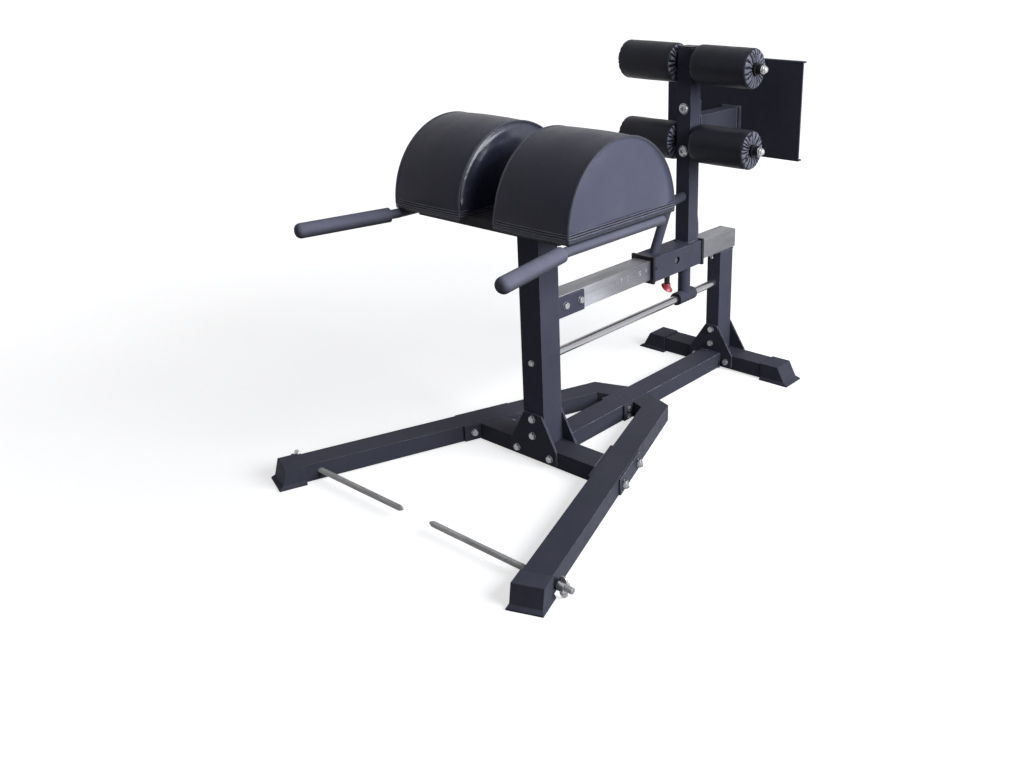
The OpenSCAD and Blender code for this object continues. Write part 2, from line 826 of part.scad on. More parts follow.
module lower_left_foam() {
  color(vinyl_c) placed() foam(axle_lo);
}

module lower_right_foam() {
  color(vinyl_c) placed() right_side() foam(axle_lo);
}

module cap_nut() {
  difference() {
    union() {
      rotate([-90, 0, 0]) cylinder(h = cap_hex_t, d = cap_flats / cos(30), $fn = 6);
      translate([0, cap_hex_t, 0]) rotate([-90, 0, 0]) rotate_extrude() intersection() {
        circle(r = cap_r);
        square(cap_r);
      }
    }
    along_y(-1, nut_depth, axle_d + 0.1);
  }
}

module axle_nuts() {
  color(zinc_c) placed() for (z = [axle_lo, axle_hi], s = [0, 1])
    mirror([0, s, 0]) translate([mast_xm, hub_y1 + 0.5, z]) cap_nut();
}

// Pads and handles
module pad_board() {
  color([0.1, 0.1, 0.11]) placed() difference() {
    box_from([board_x0, -board_y, board_z0], [board_x1, board_y, board_z1]);
    for (x = tp_x, s = [-1, 1])
      translate([x, s * tp_y, board_z0 - 1]) cylinder(h = board_t * 0.7, d = m10 + 0.4);
  }
}

// Half section of a pad: x is the radius, y is the width
function crown_x(t) = pad_r - pad_crown * pow(2 * t - 1, 2);
function side_in(t) = pad_bulge * pow(2 * t - 1, 2);

module pad_section() {
  edge_r = pad_r - pad_crown;
  crown_w = pad_w - 2 * pad_bulge;
  polygon(concat(
    [for (i = [0 : 4]) [edge_r * i / 4, pad_gap + side_in(i / 4)]],
    [for (i = [1 : 7]) [crown_x(i / 8), pad_gap + pad_bulge + crown_w * i / 8]],
    [for (i = [4 : -1 : 0]) [edge_r * i / 4, pad_y1 - side_in(i / 4)]]
  ));
  for (y = [pad_gap + pad_bulge + 1, pad_y1 - pad_bulge - 1])
    translate([edge_r - 1, y]) circle(d = piping_d, $fn = 12);
}

module pad_shape() {
  intersection() {
    translate([pad_x, 0, pad_axis_z]) rotate([-90, 0, 0]) rotate_extrude($fn = 60) pad_section();
    box_from([-far, 0, board_z1], [far, far, far]);
  }
}

module left_pad() {
  color(vinyl_c) placed() pad_shape();
}

module right_pad() {
  color(vinyl_c) placed() right_side() pad_shape();
}

// Handle tube in plan: straight under the pad, then splayed outwards
module bar_path(d, s0, s1) {
  translate([bar_x0, bar_y, bar_z]) rotate([0, 0, 180 - bar_splay]) along_x(s0, s1, d);
}

module handle_shape() {
  cut = bar_bend_r * tan(bar_splay / 2);
  translate([0, bar_y, bar_z]) along_x(bar_x0 + cut - 1, bar_x1, bar_d);
  translate([bar_x0 + cut, bar_y + bar_bend_r, bar_z]) rotate([0, 0, -90 - bar_splay])
    rotate_extrude(angle = bar_splay) translate([bar_bend_r, 0]) circle(d = bar_d + bend_over);
  bar_path(bar_d, cut - 1, grip_s0 + grip_l - 20);
  box_from([board_x0 + 2, bar_y - strip_in, bar_z + bar_d / 2 - strip_sink],
    [bar_x1 - 4, bar_y + strip_out, board_z1]);
}

module left_handle() {
  color(steel_c) placed() handle_shape();
}

module right_handle() {
  color(steel_c) placed() right_side() handle_shape();
}

module grip_shape() {
  rr = 14;
  translate([bar_x0, bar_y, bar_z]) rotate([0, 0, 180 - bar_splay]) rotate([0, 90, 0])
    rotate_extrude() difference() {
      union() {
        translate([0, grip_s0]) square([grip_d / 2, grip_l - rr]);
        translate([0, grip_s0 + grip_l - rr - eps]) square([grip_d / 2 - rr, rr + eps]);
        translate([grip_d / 2 - rr, grip_s0 + grip_l - rr]) intersection() {
          circle(r = rr);
          square(rr + 1);
        }
      }
      translate([-1, grip_s0 - 1]) square([bar_d / 2 + 1, grip_l - 19]);
    }
}

module left_grip() {
  color([0.32, 0.31, 0.36]) placed() grip_shape();
}

module right_grip() {
  color([0.32, 0.31, 0.36]) placed() right_side() grip_shape();
}

// Band pegs
module peg_shape() {
  translate([-peg_x, 0, peg_z]) {
    along_y(peg_tip_y + 22, peg_end_y, peg_d);
    translate([0, peg_tip_y, 0]) rotate([-90, 0, 0])
      cylinder(h = 22 + eps, d1 = 3, d2 = peg_d);
  }
}

module left_peg() {
  color(zinc_c) placed() peg_shape();
}

module right_peg() {
  color(zinc_c) placed() right_side() peg_shape();
}

module peg_spacer() {
  difference() {
    translate([-peg_x, 0, peg_z]) difference() {
      along_y(leg_out_c - 30, spacer_y, spacer_d);
      along_y(leg_out_c - 40, spacer_y + 1, peg_d + 2 * run_fit);
    }
    leg_frame() box_from([-far, -far, 0], [far, base_w / 2, far]);
  }
}

module peg_spacers() {
  color(rubber_c) placed() for (s = [0, 1]) mirror([0, s, 0]) peg_spacer();
}

module wing_nut() {
  translate([-peg_x, wing_y0, peg_z]) difference() {
    union() {
      along_y(0, wing_t, 26);
      for (s = [-1, 1]) translate([0, 0, s * 17]) rotate([0, 90, 0]) translate([0, 0, -2.5])
        linear_extrude(5) intersection() {
          translate([0, wing_t / 2 + 2]) circle(r = 11);
          translate([s > 0 ? -11 : -5, 0]) square([16, wing_t + 4]);
        }
    }
    along_y(-1, wing_t + 2, peg_d + 2 * run_fit);
  }
}

module left_wing_nut() {
  color(zinc_c) placed() wing_nut();
}

module right_wing_nut() {
  color(zinc_c) placed() right_side() wing_nut();
}

// Fasteners
module hex_x(x0, x1, af) {
  translate([x0, 0, 0]) rotate([0, 90, 0]) cylinder(h = x1 - x0, d = af / cos(30), $fn = 6);
}

module bolt_x(x0, x1, d, head) {
  along_x(x0 - head / 2, x1, d);
  hex_x(x0 - head, x0, d * 1.55);
}

module nut_x(x0, d) {
  difference() {
    hex_x(x0, x0 + d * 0.75, d * 1.55);
    along_x(x0 - 1, x0 + d, d + 0.1);
  }
}

module turn_to_y() {
  rotate([0, 0, 90]) children();
}

module corner_set(x0) {
  for (z = [cb_lo, cb_hi]) translate([x0, 0, z]) children();
  for (s = [-1, 1]) translate([x0, s * cb_y, base_zm]) children();
}

module frame_bolts() {
  span = base_w + 2 * plate_t;
  color(zinc_c) placed() {
    corner_set(-plate_t) bolt_x(0, span + 12, m12, 8);
    corner_set(spine_x1) bolt_x(0, span + 12, m12, 8);
    for (m = [0, 1]) mirror([0, m, 0]) leg_frame() for (s = [-1, 1])
      translate([leg_c + s * flange_bolt, -base_w / 2 - flange_t, base_zm])
        turn_to_y() bolt_x(0, base_w + flange_t + plate_t + 12, m12, 8);
    for (z = stub_bolt_z)
      translate([stub_bolt_x, -stub_y, z]) turn_to_y() bolt_x(0, 2 * stub_y + 10, m10, 7);
    for (x = br_x)
      translate([x, -br_y - br_t, rail_zm]) turn_to_y() bolt_x(0, 2 * (br_y + br_t) + 12, m12, 8);
    translate([saddle_bolt_x, 0, rail_z0 + wall]) rotate([0, 90, 0])
      bolt_x(0, saddle_t + wall + 22, m10, 7);
    translate([0, 0, rod_z]) bolt_x(0, front_up_w + 30, m10, 7);
    translate([rear_x1, 0, rod_z]) mirror([1, 0, 0]) bolt_x(0, base_w + 30, m10, 7);
  }
}

module frame_nuts() {
  color(zinc_c) placed() {
    corner_set(spine_x0) nut_x(0, m12);
    corner_set(rear_x1 + plate_t) nut_x(0, m12);
    for (m = [0, 1]) mirror([0, m, 0]) leg_frame() for (s = [-1, 1])
      translate([leg_c + s * flange_bolt, base_w / 2 + plate_t, base_zm]) turn_to_y() nut_x(0, m12);
    for (z = stub_bolt_z) translate([stub_bolt_x, stub_y, z]) turn_to_y() nut_x(0, m10);
    for (x = br_x) translate([x, br_y + br_t, rail_zm]) turn_to_y() nut_x(0, m12);
    translate([saddle_bolt_x, 0, rail_z0 - saddle_t]) rotate([0, 90, 0]) nut_x(0, m10);
  }
}

module mast_bolt() {
  along_x(-2, mast_w + 20, mb_d);
  along_x(-2, 0, mb_head_d);
  translate([-2, 0, 0]) rotate([0, -90, 0]) rotate_extrude() intersection() {
    translate([0, mb_head_h - mb_dome_r]) circle(r = mb_dome_r);
    square(mb_head_d);
  }
}

module mast_bolts() {
  color(zinc_c) placed() for (z = mb_z) translate([mast_x0, 0, z]) mast_bolt();
}

module mast_nuts() {
  color(zinc_c) placed() for (z = mb_z) translate([strut_x0, 0, z]) nut_x(0, mb_d);
}

module board_bolts() {
  color(zinc_c) placed() for (x = tp_x, s = [-1, 1])
    translate([x, s * tp_y, front_up_top]) rotate([0, -90, 0]) bolt_x(0, top_t + 16, m10, 6);
}

spine();
front_backing_plate();
rear_backing_plate();
front_cross_tube();
rear_cross_tube();
left_leg();
right_leg();
left_leg_plate();
right_leg_plate();
left_front_boot();
right_front_boot();
left_rear_boot();
right_rear_boot();
front_upright();
rear_upright();
rail();
rail_plug();
guide_rod();
sleeve();
front_collar();
rear_collar();
mast();
mast_cap();
loop_handle();
guide_post();
front_guide_bush();
rear_guide_bush();
pin_barrel();
pin_plunger();
pin_knob();
strut();
foot_plate();
upper_axle();
lower_axle();
upper_left_core();
upper_right_core();
lower_left_core();
lower_right_core();
upper_left_foam();
upper_right_foam();
lower_left_foam();
lower_right_foam();
axle_nuts();
pad_board();
left_pad();
right_pad();
left_handle();
right_handle();
left_grip();
right_grip();
left_peg();
right_peg();
peg_spacers();
left_wing_nut();
right_wing_nut();
frame_bolts();
frame_nuts();
mast_bolts();
mast_nuts();
board_bolts();
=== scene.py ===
import bpy, bmesh, math, json, random
from mathutils import Vector, Matrix, noise


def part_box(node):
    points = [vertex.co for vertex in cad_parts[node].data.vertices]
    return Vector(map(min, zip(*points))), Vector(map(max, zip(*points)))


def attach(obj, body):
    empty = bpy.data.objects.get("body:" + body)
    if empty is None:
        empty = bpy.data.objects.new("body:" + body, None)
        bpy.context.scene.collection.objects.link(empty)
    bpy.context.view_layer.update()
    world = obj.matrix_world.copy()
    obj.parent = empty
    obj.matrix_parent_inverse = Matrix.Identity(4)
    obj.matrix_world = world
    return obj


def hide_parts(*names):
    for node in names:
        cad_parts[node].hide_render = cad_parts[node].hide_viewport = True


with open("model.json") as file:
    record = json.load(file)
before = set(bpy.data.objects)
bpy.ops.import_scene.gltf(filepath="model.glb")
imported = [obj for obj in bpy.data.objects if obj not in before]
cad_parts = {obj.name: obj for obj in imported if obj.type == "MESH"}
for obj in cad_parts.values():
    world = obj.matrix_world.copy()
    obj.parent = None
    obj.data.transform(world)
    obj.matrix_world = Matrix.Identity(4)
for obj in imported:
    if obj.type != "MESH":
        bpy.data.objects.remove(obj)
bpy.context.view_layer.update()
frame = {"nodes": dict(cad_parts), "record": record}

# Model x in millimetres counts from the front face of the front upright; the rail starts at its rear face.
UPRIGHT_DEPTH = 75
ORIGIN_X = UPRIGHT_DEPTH / 1000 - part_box("rail")[0].x


def point(x, y, z):
    """A point in the model's own millimetres, as frame metres."""
    return Vector((x / 1000 - ORIGIN_X, y / 1000, z / 1000))


# Camera, solved from the photograph: pixels, degrees and model millimetres
IMAGE_W, IMAGE_H = 1024, 768
FOCAL, CENTRE_X, CENTRE_Y = 1037.93, 621.76, 318.84
AZIMUTH, ELEVATION, ROLL = -51.557, 20.218, -0.217
CAMERA_AT = point(-1899.67, -1822.44, 1394.49)
SENSOR = 36


def add_camera():
    az, el, roll = (math.radians(a) for a in (AZIMUTH, ELEVATION, ROLL))
    back = Vector((math.sin(az) * math.cos(el), -math.cos(az) * math.cos(el), math.sin(el)))
    right = (-back).cross(Vector((0, 0, 1))).normalized()
    up = right.cross(-back)
    rolled_right = math.cos(roll) * right + math.sin(roll) * up
    rolled_up = -math.sin(roll) * right + math.cos(roll) * up
    turn = Matrix((rolled_right, rolled_up, back)).transposed().to_4x4()
    data = bpy.data.cameras.new("camera")
    data.sensor_width = SENSOR
    data.lens = FOCAL / IMAGE_W * SENSOR
    data.shift_x = (IMAGE_W / 2 - CENTRE_X) / IMAGE_W
    data.shift_y = (CENTRE_Y - IMAGE_H / 2) / IMAGE_W
    data.clip_end = 200
    camera = bpy.data.objects.new("camera", data)
    camera.matrix_world = Matrix.Translation(CAMERA_AT) @ turn
    bpy.context.collection.objects.link(camera)
    bpy.context.scene.camera = camera


add_camera()
bpy.context.scene.view_settings.view_transform = "Standard"


# Shader nodes
def add(nt, kind, inputs, **settings):
    """A new shader node; inputs gives its sockets values, or the outputs that feed them."""
    node = nt.nodes.new("ShaderNode" + kind)
    for key, value in settings.items():
        setattr(node, key, value)
    for key, value in inputs.items():
        if isinstance(value, bpy.types.NodeSocket):
            nt.links.new(value, node.inputs[key])
        else:
            node.inputs[key].default_value = value
    return node


def new_material(name):
    """A material with its node tree, its main shader and its object coordinates."""
    mat = bpy.data.materials.new(name)
    mat.use_nodes = True
    nt = mat.node_tree
    return mat, nt, nt.nodes["Principled BSDF"], add(nt, "TexCoord", {}).outputs["Object"]


def noise_at(nt, at, scale, detail=4, rough=0.6, stretch=None):
    """Noise at coordinates, which stretch scales first."""
    if stretch:
        at = add(nt, "Mapping", {"Vector": at, "Scale": stretch}).outputs["Vector"]
    inputs = {"Vector": at, "Scale": scale, "Detail": detail, "Roughness": rough}
    return add(nt, "TexNoise", inputs).outputs["Fac"]


def ramp(nt, source, stops):
    """Colours or greys at places along a socket from 0 to 1."""
    node = add(nt, "ValToRGB", {"Fac": source})
    elements = node.color_ramp.elements
    while len(elements) < len(stops):
        elements.new(0.5)
    for i, (place, value) in enumerate(stops):
        elements[i].position = place
        elements[i].color = (*value, 1) if isinstance(value, tuple) else (value, value, value, 1)
    return node.outputs["Color"]


def mixed(nt, share, a, b):
    return add(nt, "Mix", {"Factor": share, "A": a, "B": b}, data_type="RGBA").outputs["Result"]


def multiplied(nt, a, b):
    inputs = {"Factor": 1, "A": a, "B": b}
    return add(nt, "Mix", inputs, data_type="RGBA", blend_type="MULTIPLY").outputs["Result"]


# Materials
# Cosines between an edge's rounded normal and its face's own where the lighter edge starts and where it is
# full; the lighter edge is partly wear and partly painted highlight
RUB_AND_GLINT_START, RUB_AND_GLINT_FULL = 0.985, 0.87
RUB_AND_GLINT_SCALE, ROUGH_SCALE = 34, 5.3


def surface(name, low, high, scale, rough, grain, metallic=0.0, stretch=None, edge=0.0, spec=0.5, coat=0.0,
            cells=False, strength=0.5, edge_wear_and_glint=None):
    """Blotches between two colours, patches of roughness and a fine bump.

    rough is (mean, spread) and grain is (scale, height of the bump), with leather cells instead of noise
    if cells is set. edge is the radius that rounds the edges, and edge_wear_and_glint the lighter colour
    painted along them, partly wear and partly painted highlight.
    """
    mat, nt, shader, at = new_material(name)
    colour = ramp(nt, noise_at(nt, at, scale, stretch=stretch), [(0.3, low), (0.7, high)])
    mean, spread = rough
    patches = noise_at(nt, at, scale * ROUGH_SCALE, stretch=stretch)
    roughness = ramp(nt, patches, [(0.25, mean - spread), (0.75, mean + spread)])
    nt.links.new(roughness, shader.inputs["Roughness"])
    shader.inputs["Metallic"].default_value = metallic
    shader.inputs["Specular IOR Level"].default_value = spec
    shader.inputs["Coat Weight"].default_value = coat
    rounded = add(nt, "Bevel", {"Radius": edge}, samples=4).outputs["Normal"] if edge else None
    # lighter colour along the rounded edges: partly wear, partly painted highlight
    if edge_wear_and_glint:
        face = add(nt, "NewGeometry", {}).outputs["True Normal"]
        turn = add(nt, "VectorMath", {0: rounded, 1: face}, operation="DOT_PRODUCT").outputs["Value"]
        rub_and_glint = add(nt, "MapRange", {"Value": turn, "From Min": RUB_AND_GLINT_START, "From Max": RUB_AND_GLINT_FULL})
        broken = ramp(nt, noise_at(nt, at, RUB_AND_GLINT_SCALE, rough=0.65), [(0.40, 0.25), (0.62, 1.0)])
        share = add(nt, "Math", {0: rub_and_glint.outputs["Result"], 1: broken}, operation="MULTIPLY").outputs[0]
        colour = mixed(nt, share, colour, (*edge_wear_and_glint, 1))
    nt.links.new(colour, shader.inputs["Base Color"])
    grain_scale, height = grain
    if cells:
        bumps = add(nt, "TexVoronoi", {"Vector": at, "Scale": grain_scale}).outputs["Distance"]
    else:
        bumps = noise_at(nt, at, grain_scale, 2, 0.5, stretch)
    bump = add(nt, "Bump", {"Strength": strength, "Distance": height, "Height": bumps})
    if rounded:
        nt.links.new(rounded, bump.inputs["Normal"])
    nt.links.new(bump.outputs["Normal"], shader.inputs["Normal"])
    return mat


POWDER = dict(scale=7, rough=(0.52, 0.06), grain=(900, 0.00014), strength=0.4, spec=0.05)
ZINC = dict(rough=(0.34, 0.07), grain=(1500, 0.00003), edge=0.0006)
LEATHER = dict(cells=True, strength=0.35)
# The record's material slots come first, then the looks of single pieces.
LOOKS = {
    "charcoal_powder_coat": dict(low=(0.070, 0.072, 0.104), high=(0.088, 0.090, 0.128), edge=0.0024,
                                 edge_wear_and_glint=(0.30, 0.30, 0.37), **POWDER),
    "galvanised_rail": dict(low=(0.28, 0.28, 0.31), high=(0.66, 0.66, 0.71), scale=9, rough=(0.42, 0.08),
                            grain=(260, 0.00006), metallic=0.35, stretch=(0.35, 1.6, 1.6), edge=0.0026,
                            edge_wear_and_glint=(0.85, 0.85, 0.88)),
    "chrome_rod": dict(low=(0.35, 0.35, 0.37), high=(0.41, 0.41, 0.43), scale=30, rough=(0.24, 0.03),
                       grain=(1200, 0.00001), metallic=0.9, stretch=(0.2, 3, 3)),
    "zinc_fastener": dict(low=(0.22, 0.23, 0.24), high=(0.38, 0.39, 0.40), scale=60, metallic=0.9, **ZINC),
    "bare_steel_peg": dict(low=(0.21, 0.21, 0.215), high=(0.40, 0.40, 0.405), scale=26, rough=(0.44, 0.08),
                           grain=(800, 0.00006), metallic=0.5, stretch=(2, 0.4, 2), edge=0.0005, spec=0.1),
    "black_rubber": dict(low=(0.064, 0.066, 0.090), high=(0.082, 0.084, 0.114), scale=22, rough=(0.56, 0.08),
                         grain=(700, 0.00015), edge=0.0022, spec=0.04),
    "grip_rubber": dict(low=(0.165, 0.165, 0.222), high=(0.200, 0.200, 0.268), scale=18, rough=(0.60, 0.06),
                        grain=(1100, 0.00012), spec=0.05),
    "black_vinyl": dict(low=(0.036, 0.037, 0.058), high=(0.047, 0.048, 0.074), scale=9, rough=(0.40, 0.05),
                        grain=(640, 0.00020), spec=0.16, **LEATHER),
    "black_board": dict(low=(0.012, 0.012, 0.015), high=(0.020, 0.020, 0.024), scale=14, rough=(0.6, 0.08),
                        grain=(300, 0.00012), stretch=(1, 4, 4), edge=0.0012, spec=0.12),
    "red_knob": dict(low=(0.40, 0.025, 0.045), high=(0.54, 0.040, 0.065), scale=30, rough=(0.34, 0.05),
                     grain=(900, 0.00005), coat=0.2, edge=0.0008),
    "black_plastic": dict(low=(0.012, 0.012, 0.016), high=(0.022, 0.022, 0.028), scale=26, rough=(0.42, 0.07),
                          grain=(1000, 0.00008), edge=0.0012, spec=0.15),
    # handle tubes: a lighter copy of the powder coat, as painted highlight
    "painted_light_powder_coat": dict(low=(0.145, 0.149, 0.200), high=(0.175, 0.179, 0.240), scale=7,
                               rough=(0.42, 0.05), grain=(900, 0.00010), edge=0.0010, strength=0.4, spec=0.1),
    # floor frame, strut and foot plate: a darker copy of the powder coat, as painted shade
    "shaded_powder_coat": dict(low=(0.057, 0.059, 0.081), high=(0.072, 0.074, 0.101), edge=0.0024,
                             edge_wear_and_glint=(0.26, 0.26, 0.31), **POWDER),
    # spine and cut plates: edges painted bright, partly wear and partly painted highlight
    "plate_powder_coat": dict(low=(0.062, 0.064, 0.090), high=(0.078, 0.080, 0.112), edge=0.0022,
                              edge_wear_and_glint=(0.58, 0.58, 0.66), **POWDER),
    "bright_zinc": dict(low=(0.36, 0.36, 0.37), high=(0.54, 0.54, 0.55), scale=50, metallic=0.85, **ZINC),
    "vinyl_welt": dict(low=(0.038, 0.040, 0.062), high=(0.052, 0.055, 0.084), scale=30, rough=(0.36, 0.05),
                       grain=(900, 0.00012), spec=0.35),
    # side panels: a lighter copy of the vinyl for the outer sides, as painted light, and a darker, glossier
    # copy for the inner sides, as painted shade
    "painted_light_side_vinyl": dict(low=(0.040, 0.045, 0.088), high=(0.054, 0.060, 0.112), scale=6,
                             rough=(0.42, 0.04), grain=(640, 0.00020), spec=0.5, **LEATHER),
    "painted_shade_inner_vinyl": dict(low=(0.030, 0.033, 0.062), high=(0.040, 0.044, 0.080), scale=6,
                              rough=(0.30, 0.04), grain=(640, 0.00015), spec=0.65, cells=True, strength=0.3),
    "roller_vinyl": dict(low=(0.014, 0.0147, 0.022), high=(0.021, 0.022, 0.033), scale=11,
                         rough=(0.46, 0.05), grain=(700, 0.00020), spec=0.16, **LEATHER),
    # a lighter copy of the vinyl for the pleats' ridges and some hem rows, as painted highlight
    "painted_highlight_vinyl": dict(low=(0.115, 0.117, 0.160), high=(0.190, 0.192, 0.255), scale=60,
                          rough=(0.40, 0.07), grain=(500, 0.00020), spec=0.3),
    "stitching_thread": dict(low=(0.10, 0.10, 0.13), high=(0.15, 0.15, 0.18), scale=200, rough=(0.7, 0.05),
                             grain=(2500, 0.00008)),
    "scale_paint": dict(low=(0.80, 0.80, 0.82), high=(0.95, 0.95, 0.96), scale=90, rough=(0.5, 0.05),
                        grain=(900, 0.00003)),
}
MATS = {name: surface(name, **look) for name, look in LOOKS.items()}


def colour_of(look):
    """A look's node tree, its base colour socket, what feeds that socket, and new coordinates."""
    nt = MATS[look].node_tree
    base = nt.nodes["Principled BSDF"].inputs["Base Color"]
    return nt, base, base.links[0].from_socket, add(nt, "TexCoord", {})


def tint(look, axis, start, end, stops, above=None):
    """Multiply a colour by a ramp along an axis; above is a height and the share kept over it."""
    nt, base, colour, coords = colour_of(look)
    place = add(nt, "SeparateXYZ", {0: coords.outputs["Object"]})
    run = add(nt, "MapRange", {"Value": place.outputs[axis], "From Min": start, "From Max": end})
    tinted = multiplied(nt, colour, ramp(nt, run.outputs["Result"], stops))
    if above:
        height, share = above
        high = add(nt, "Math", {0: place.outputs["Z"], 1: height}, operation="GREATER_THAN").outputs[0]
        tinted = mixed(nt, high, tinted, multiplied(nt, colour, (share, share, share, 1)))
    nt.links.new(tinted, base)


# Upward parts of the normal where the painted shade on the underside is full and where it ends
PAINTED_SHADE_FULL, PAINTED_SHADE_END = -0.70, 0.22


def paint_shade_below(look, share):
    """Keep only a share of the colour where the surface faces down: painted shade on the underside."""
    nt, base, colour, coords = colour_of(look)
    up = add(nt, "SeparateXYZ", {0: coords.outputs["Normal"]}).outputs["Z"]
    kept = add(nt, "MapRange", {"Value": up, "From Min": PAINTED_SHADE_FULL, "From Max": PAINTED_SHADE_END,
                                "To Min": share})
    nt.links.new(multiplied(nt, colour, kept.outputs["Result"]), base)


# Painted reflection: the rail's sides are painted bright at the front end and darker towards the rear, and
# its top is painted evenly darker as painted shade. Frame metres.
RAIL_FRONT, RAIL_REAR, RAIL_TOP = -0.1446, 0.7494, 0.4764
RAIL_PAINTED_REFLECTION = [(0.13, 1.0), (0.17, 0.97), (0.22, 0.77), (0.27, 0.62), (0.31, 0.50), (0.40, 0.41),
                (0.50, 0.37), (1.0, 0.38)]
tint("galvanised_rail", "X", RAIL_FRONT, RAIL_REAR, RAIL_PAINTED_REFLECTION, above=(RAIL_TOP, 0.54))
# Painted shade: the flat strip over each handle tube, where it meets the board, is darkened nearly to black.
SHADE_STRIP_LOW, SHADE_STRIP_HIGH = 0.7250, 0.7256
tint("painted_light_powder_coat", "Z", SHADE_STRIP_LOW, SHADE_STRIP_HIGH, [(0.0, 1.0), (1.0, 0.08)])
# painted shade on the undersides of the grips and the handle tubes
paint_shade_below("grip_rubber", 0.30)
paint_shade_below("painted_light_powder_coat", 0.25)

LOOK_NODES = {
    # the handle tubes take the lighter copy of the powder coat, as painted highlight
    "painted_light_powder_coat": ("left_handle", "right_handle"),
    "bright_zinc": ("left_wing_nut", "right_wing_nut", "axle_nuts"),
    # the floor frame, strut and foot plate take the darker copy of the powder coat, as painted shade
    "shaded_powder_coat": ("left_leg", "right_leg", "front_cross_tube", "rear_cross_tube", "foot_plate",
                         "strut"),
    "plate_powder_coat": ("spine", "front_backing_plate", "rear_backing_plate", "left_leg_plate",
                          "right_leg_plate"),
}
look_of = {row["node"]: row["material_slot"] for row in frame["record"]["subparts"]}
for look, nodes in LOOK_NODES.items():
    look_of.update(dict.fromkeys(nodes, look))
for name, node in frame["nodes"].items():
    node.data.materials.clear()
    node.data.materials.append(MATS[look_of[name]])


# Mesh helpers; a mesh is (vertices, faces)
def make(name, mesh, slot, body, look=None):
    """A smooth piece in a record slot, riding on a body; look names another of the materials."""
    verts, faces = mesh
    me = bpy.data.meshes.new(name)
    me.from_pydata([tuple(v) for v in verts], [], faces)
    me.validate()
    for p in me.polygons:
        p.use_smooth = True
    o = bpy.data.objects.new(name, me)
    bpy.context.collection.objects.link(o)
    me.materials.append(MATS[look or slot])
    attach(o, body)
    return o


def clean(o, merge=0.0, sharp=None):
    """Join points closer than merge, turn the faces outwards, and crease edges steeper than sharp degrees."""
    bm = bmesh.new()
    bm.from_mesh(o.data)
    if merge:
        bmesh.ops.remove_doubles(bm, verts=bm.verts, dist=merge)
    bmesh.ops.recalc_face_normals(bm, faces=bm.faces)
    if sharp:
        for e in bm.edges:
            if len(e.link_faces) == 2 and e.calc_face_angle(0) > math.radians(sharp):
                e.smooth = False
    bm.to_mesh(o.data)
    bm.free()


def merged(meshes):
    """One mesh from several."""
    verts, faces = [], []
    for part_verts, part_faces in meshes:
        base = len(verts)
        verts.extend(part_verts)
        faces.extend(tuple(base + i for i in face) for face in part_faces)
    return verts, faces


def loft(rings, start=None, end=None):
    """Faces between closed rings of points; start and end are the centres of caps."""
    verts = [p for ring in rings for p in ring]
    n = len(rings[0])
    faces = []
    for i in range(len(rings) - 1):
        for j in range(n):
            k = (j + 1) % n
            faces.append((i * n + j, i * n + k, (i + 1) * n + k, (i + 1) * n + j))
    for cap, base in ((start, 0), (end, (len(rings) - 1) * n)):
        if cap is not None:
            verts.append(cap)
            c = len(verts) - 1
            for j in range(n):
                k = (j + 1) % n
                faces.append((c, base + k, base + j) if base == 0 else (c, base + j, base + k))
    return verts, faces


def across(t):
    """A direction square to t, near the vertical where it can be."""
    ref = Vector((0, 0, 1)) if abs(t.z) < 0.8 else Vector((1, 0, 0))
    return (ref - t * ref.dot(t)).normalized()


def tube(points, radius, n=10, closed=False):
    """A round tube along points; radius may be a function of the point's index."""
    rings = []
    count = len(points)
    u = None
    for i, p in enumerate(points):
        a = points[i - 1] if i or closed else points[0]
        b = points[(i + 1) % count] if i < count - 1 or closed else points[-1]
        t = (b - a).normalized()
        u = across(t) if u is None else (u - t * u.dot(t)).normalized()
        v = t.cross(u)
        r = radius(i) if callable(radius) else radius
        rings.append([p + (u * math.cos(2 * math.pi * k / n) + v * math.sin(2 * math.pi * k / n)) * r
                      for k in range(n)])
    if closed:
        rings.append(rings[0])
        return loft(rings)
    return loft(rings, points[0], points[-1])


def stack(origin, axis, rows, n):
    """A closed solid of revolution; rows are (distance along the axis, radius or function of the angle)."""
    u = across(axis)
    w = axis.cross(u)
    rings = []
    for t, radius in rows:
        ring = []
        for j in range(n):
            a = 2 * math.pi * j / n
            r = radius(a) if callable(radius) else radius
            ring.append(origin + axis * t + (u * math.cos(a) + w * math.sin(a)) * r)
        rings.append(ring)
    return loft(rings, origin + axis * rows[0][0], origin + axis * rows[-1][0])


def smooth01(t):
    """An S-shaped step from 0 to 1."""
    t = min(1.0, max(0.0, t))
    return t * t * (3 - 2 * t)


# Pads: crowned half-round cushions with side panels, welts and a sewn hem, in millimetres
PAD_R, PAD_X, PAD_Z = 212, 30, 741
PAD_BOTTOM = 737
PAD_Y0, PAD_W = 55, 249
CROWN, BULGE = 4, 4
FOOT_R = 5
ARC_STEPS, FOOT_STEPS, BASE_STEPS, CROWN_STEPS, HEM_STEPS = 160, 4, 40, 24, 36
# side panels: inset of their seam, height of their centre, and rings as shares of the way out from it
PANEL_INSET, PANEL_CENTRE_Z = 9.0, PAD_Z + 80
PANEL_SHARES = (0.02, 0.12, 0.24, 0.36, 0.48, 0.58, 0.67, 0.74, 0.80, 0.85, 0.89, 0.925, 0.955, 0.98, 1.0)
# rings over a seam, as (distance from the side, inset), with a groove on both sides of the welt
SEAM_ROWS = ((3.6, 7.8), (2.6, 6.0), (3.0, 4.6), (4.0, 4.4), (5.0, 5.4), (6.0, 4.4), (7.2, 3.4), (9.5, 3.3),
             (13, 3.3), (19, 2.9))
SEAM_END = 19
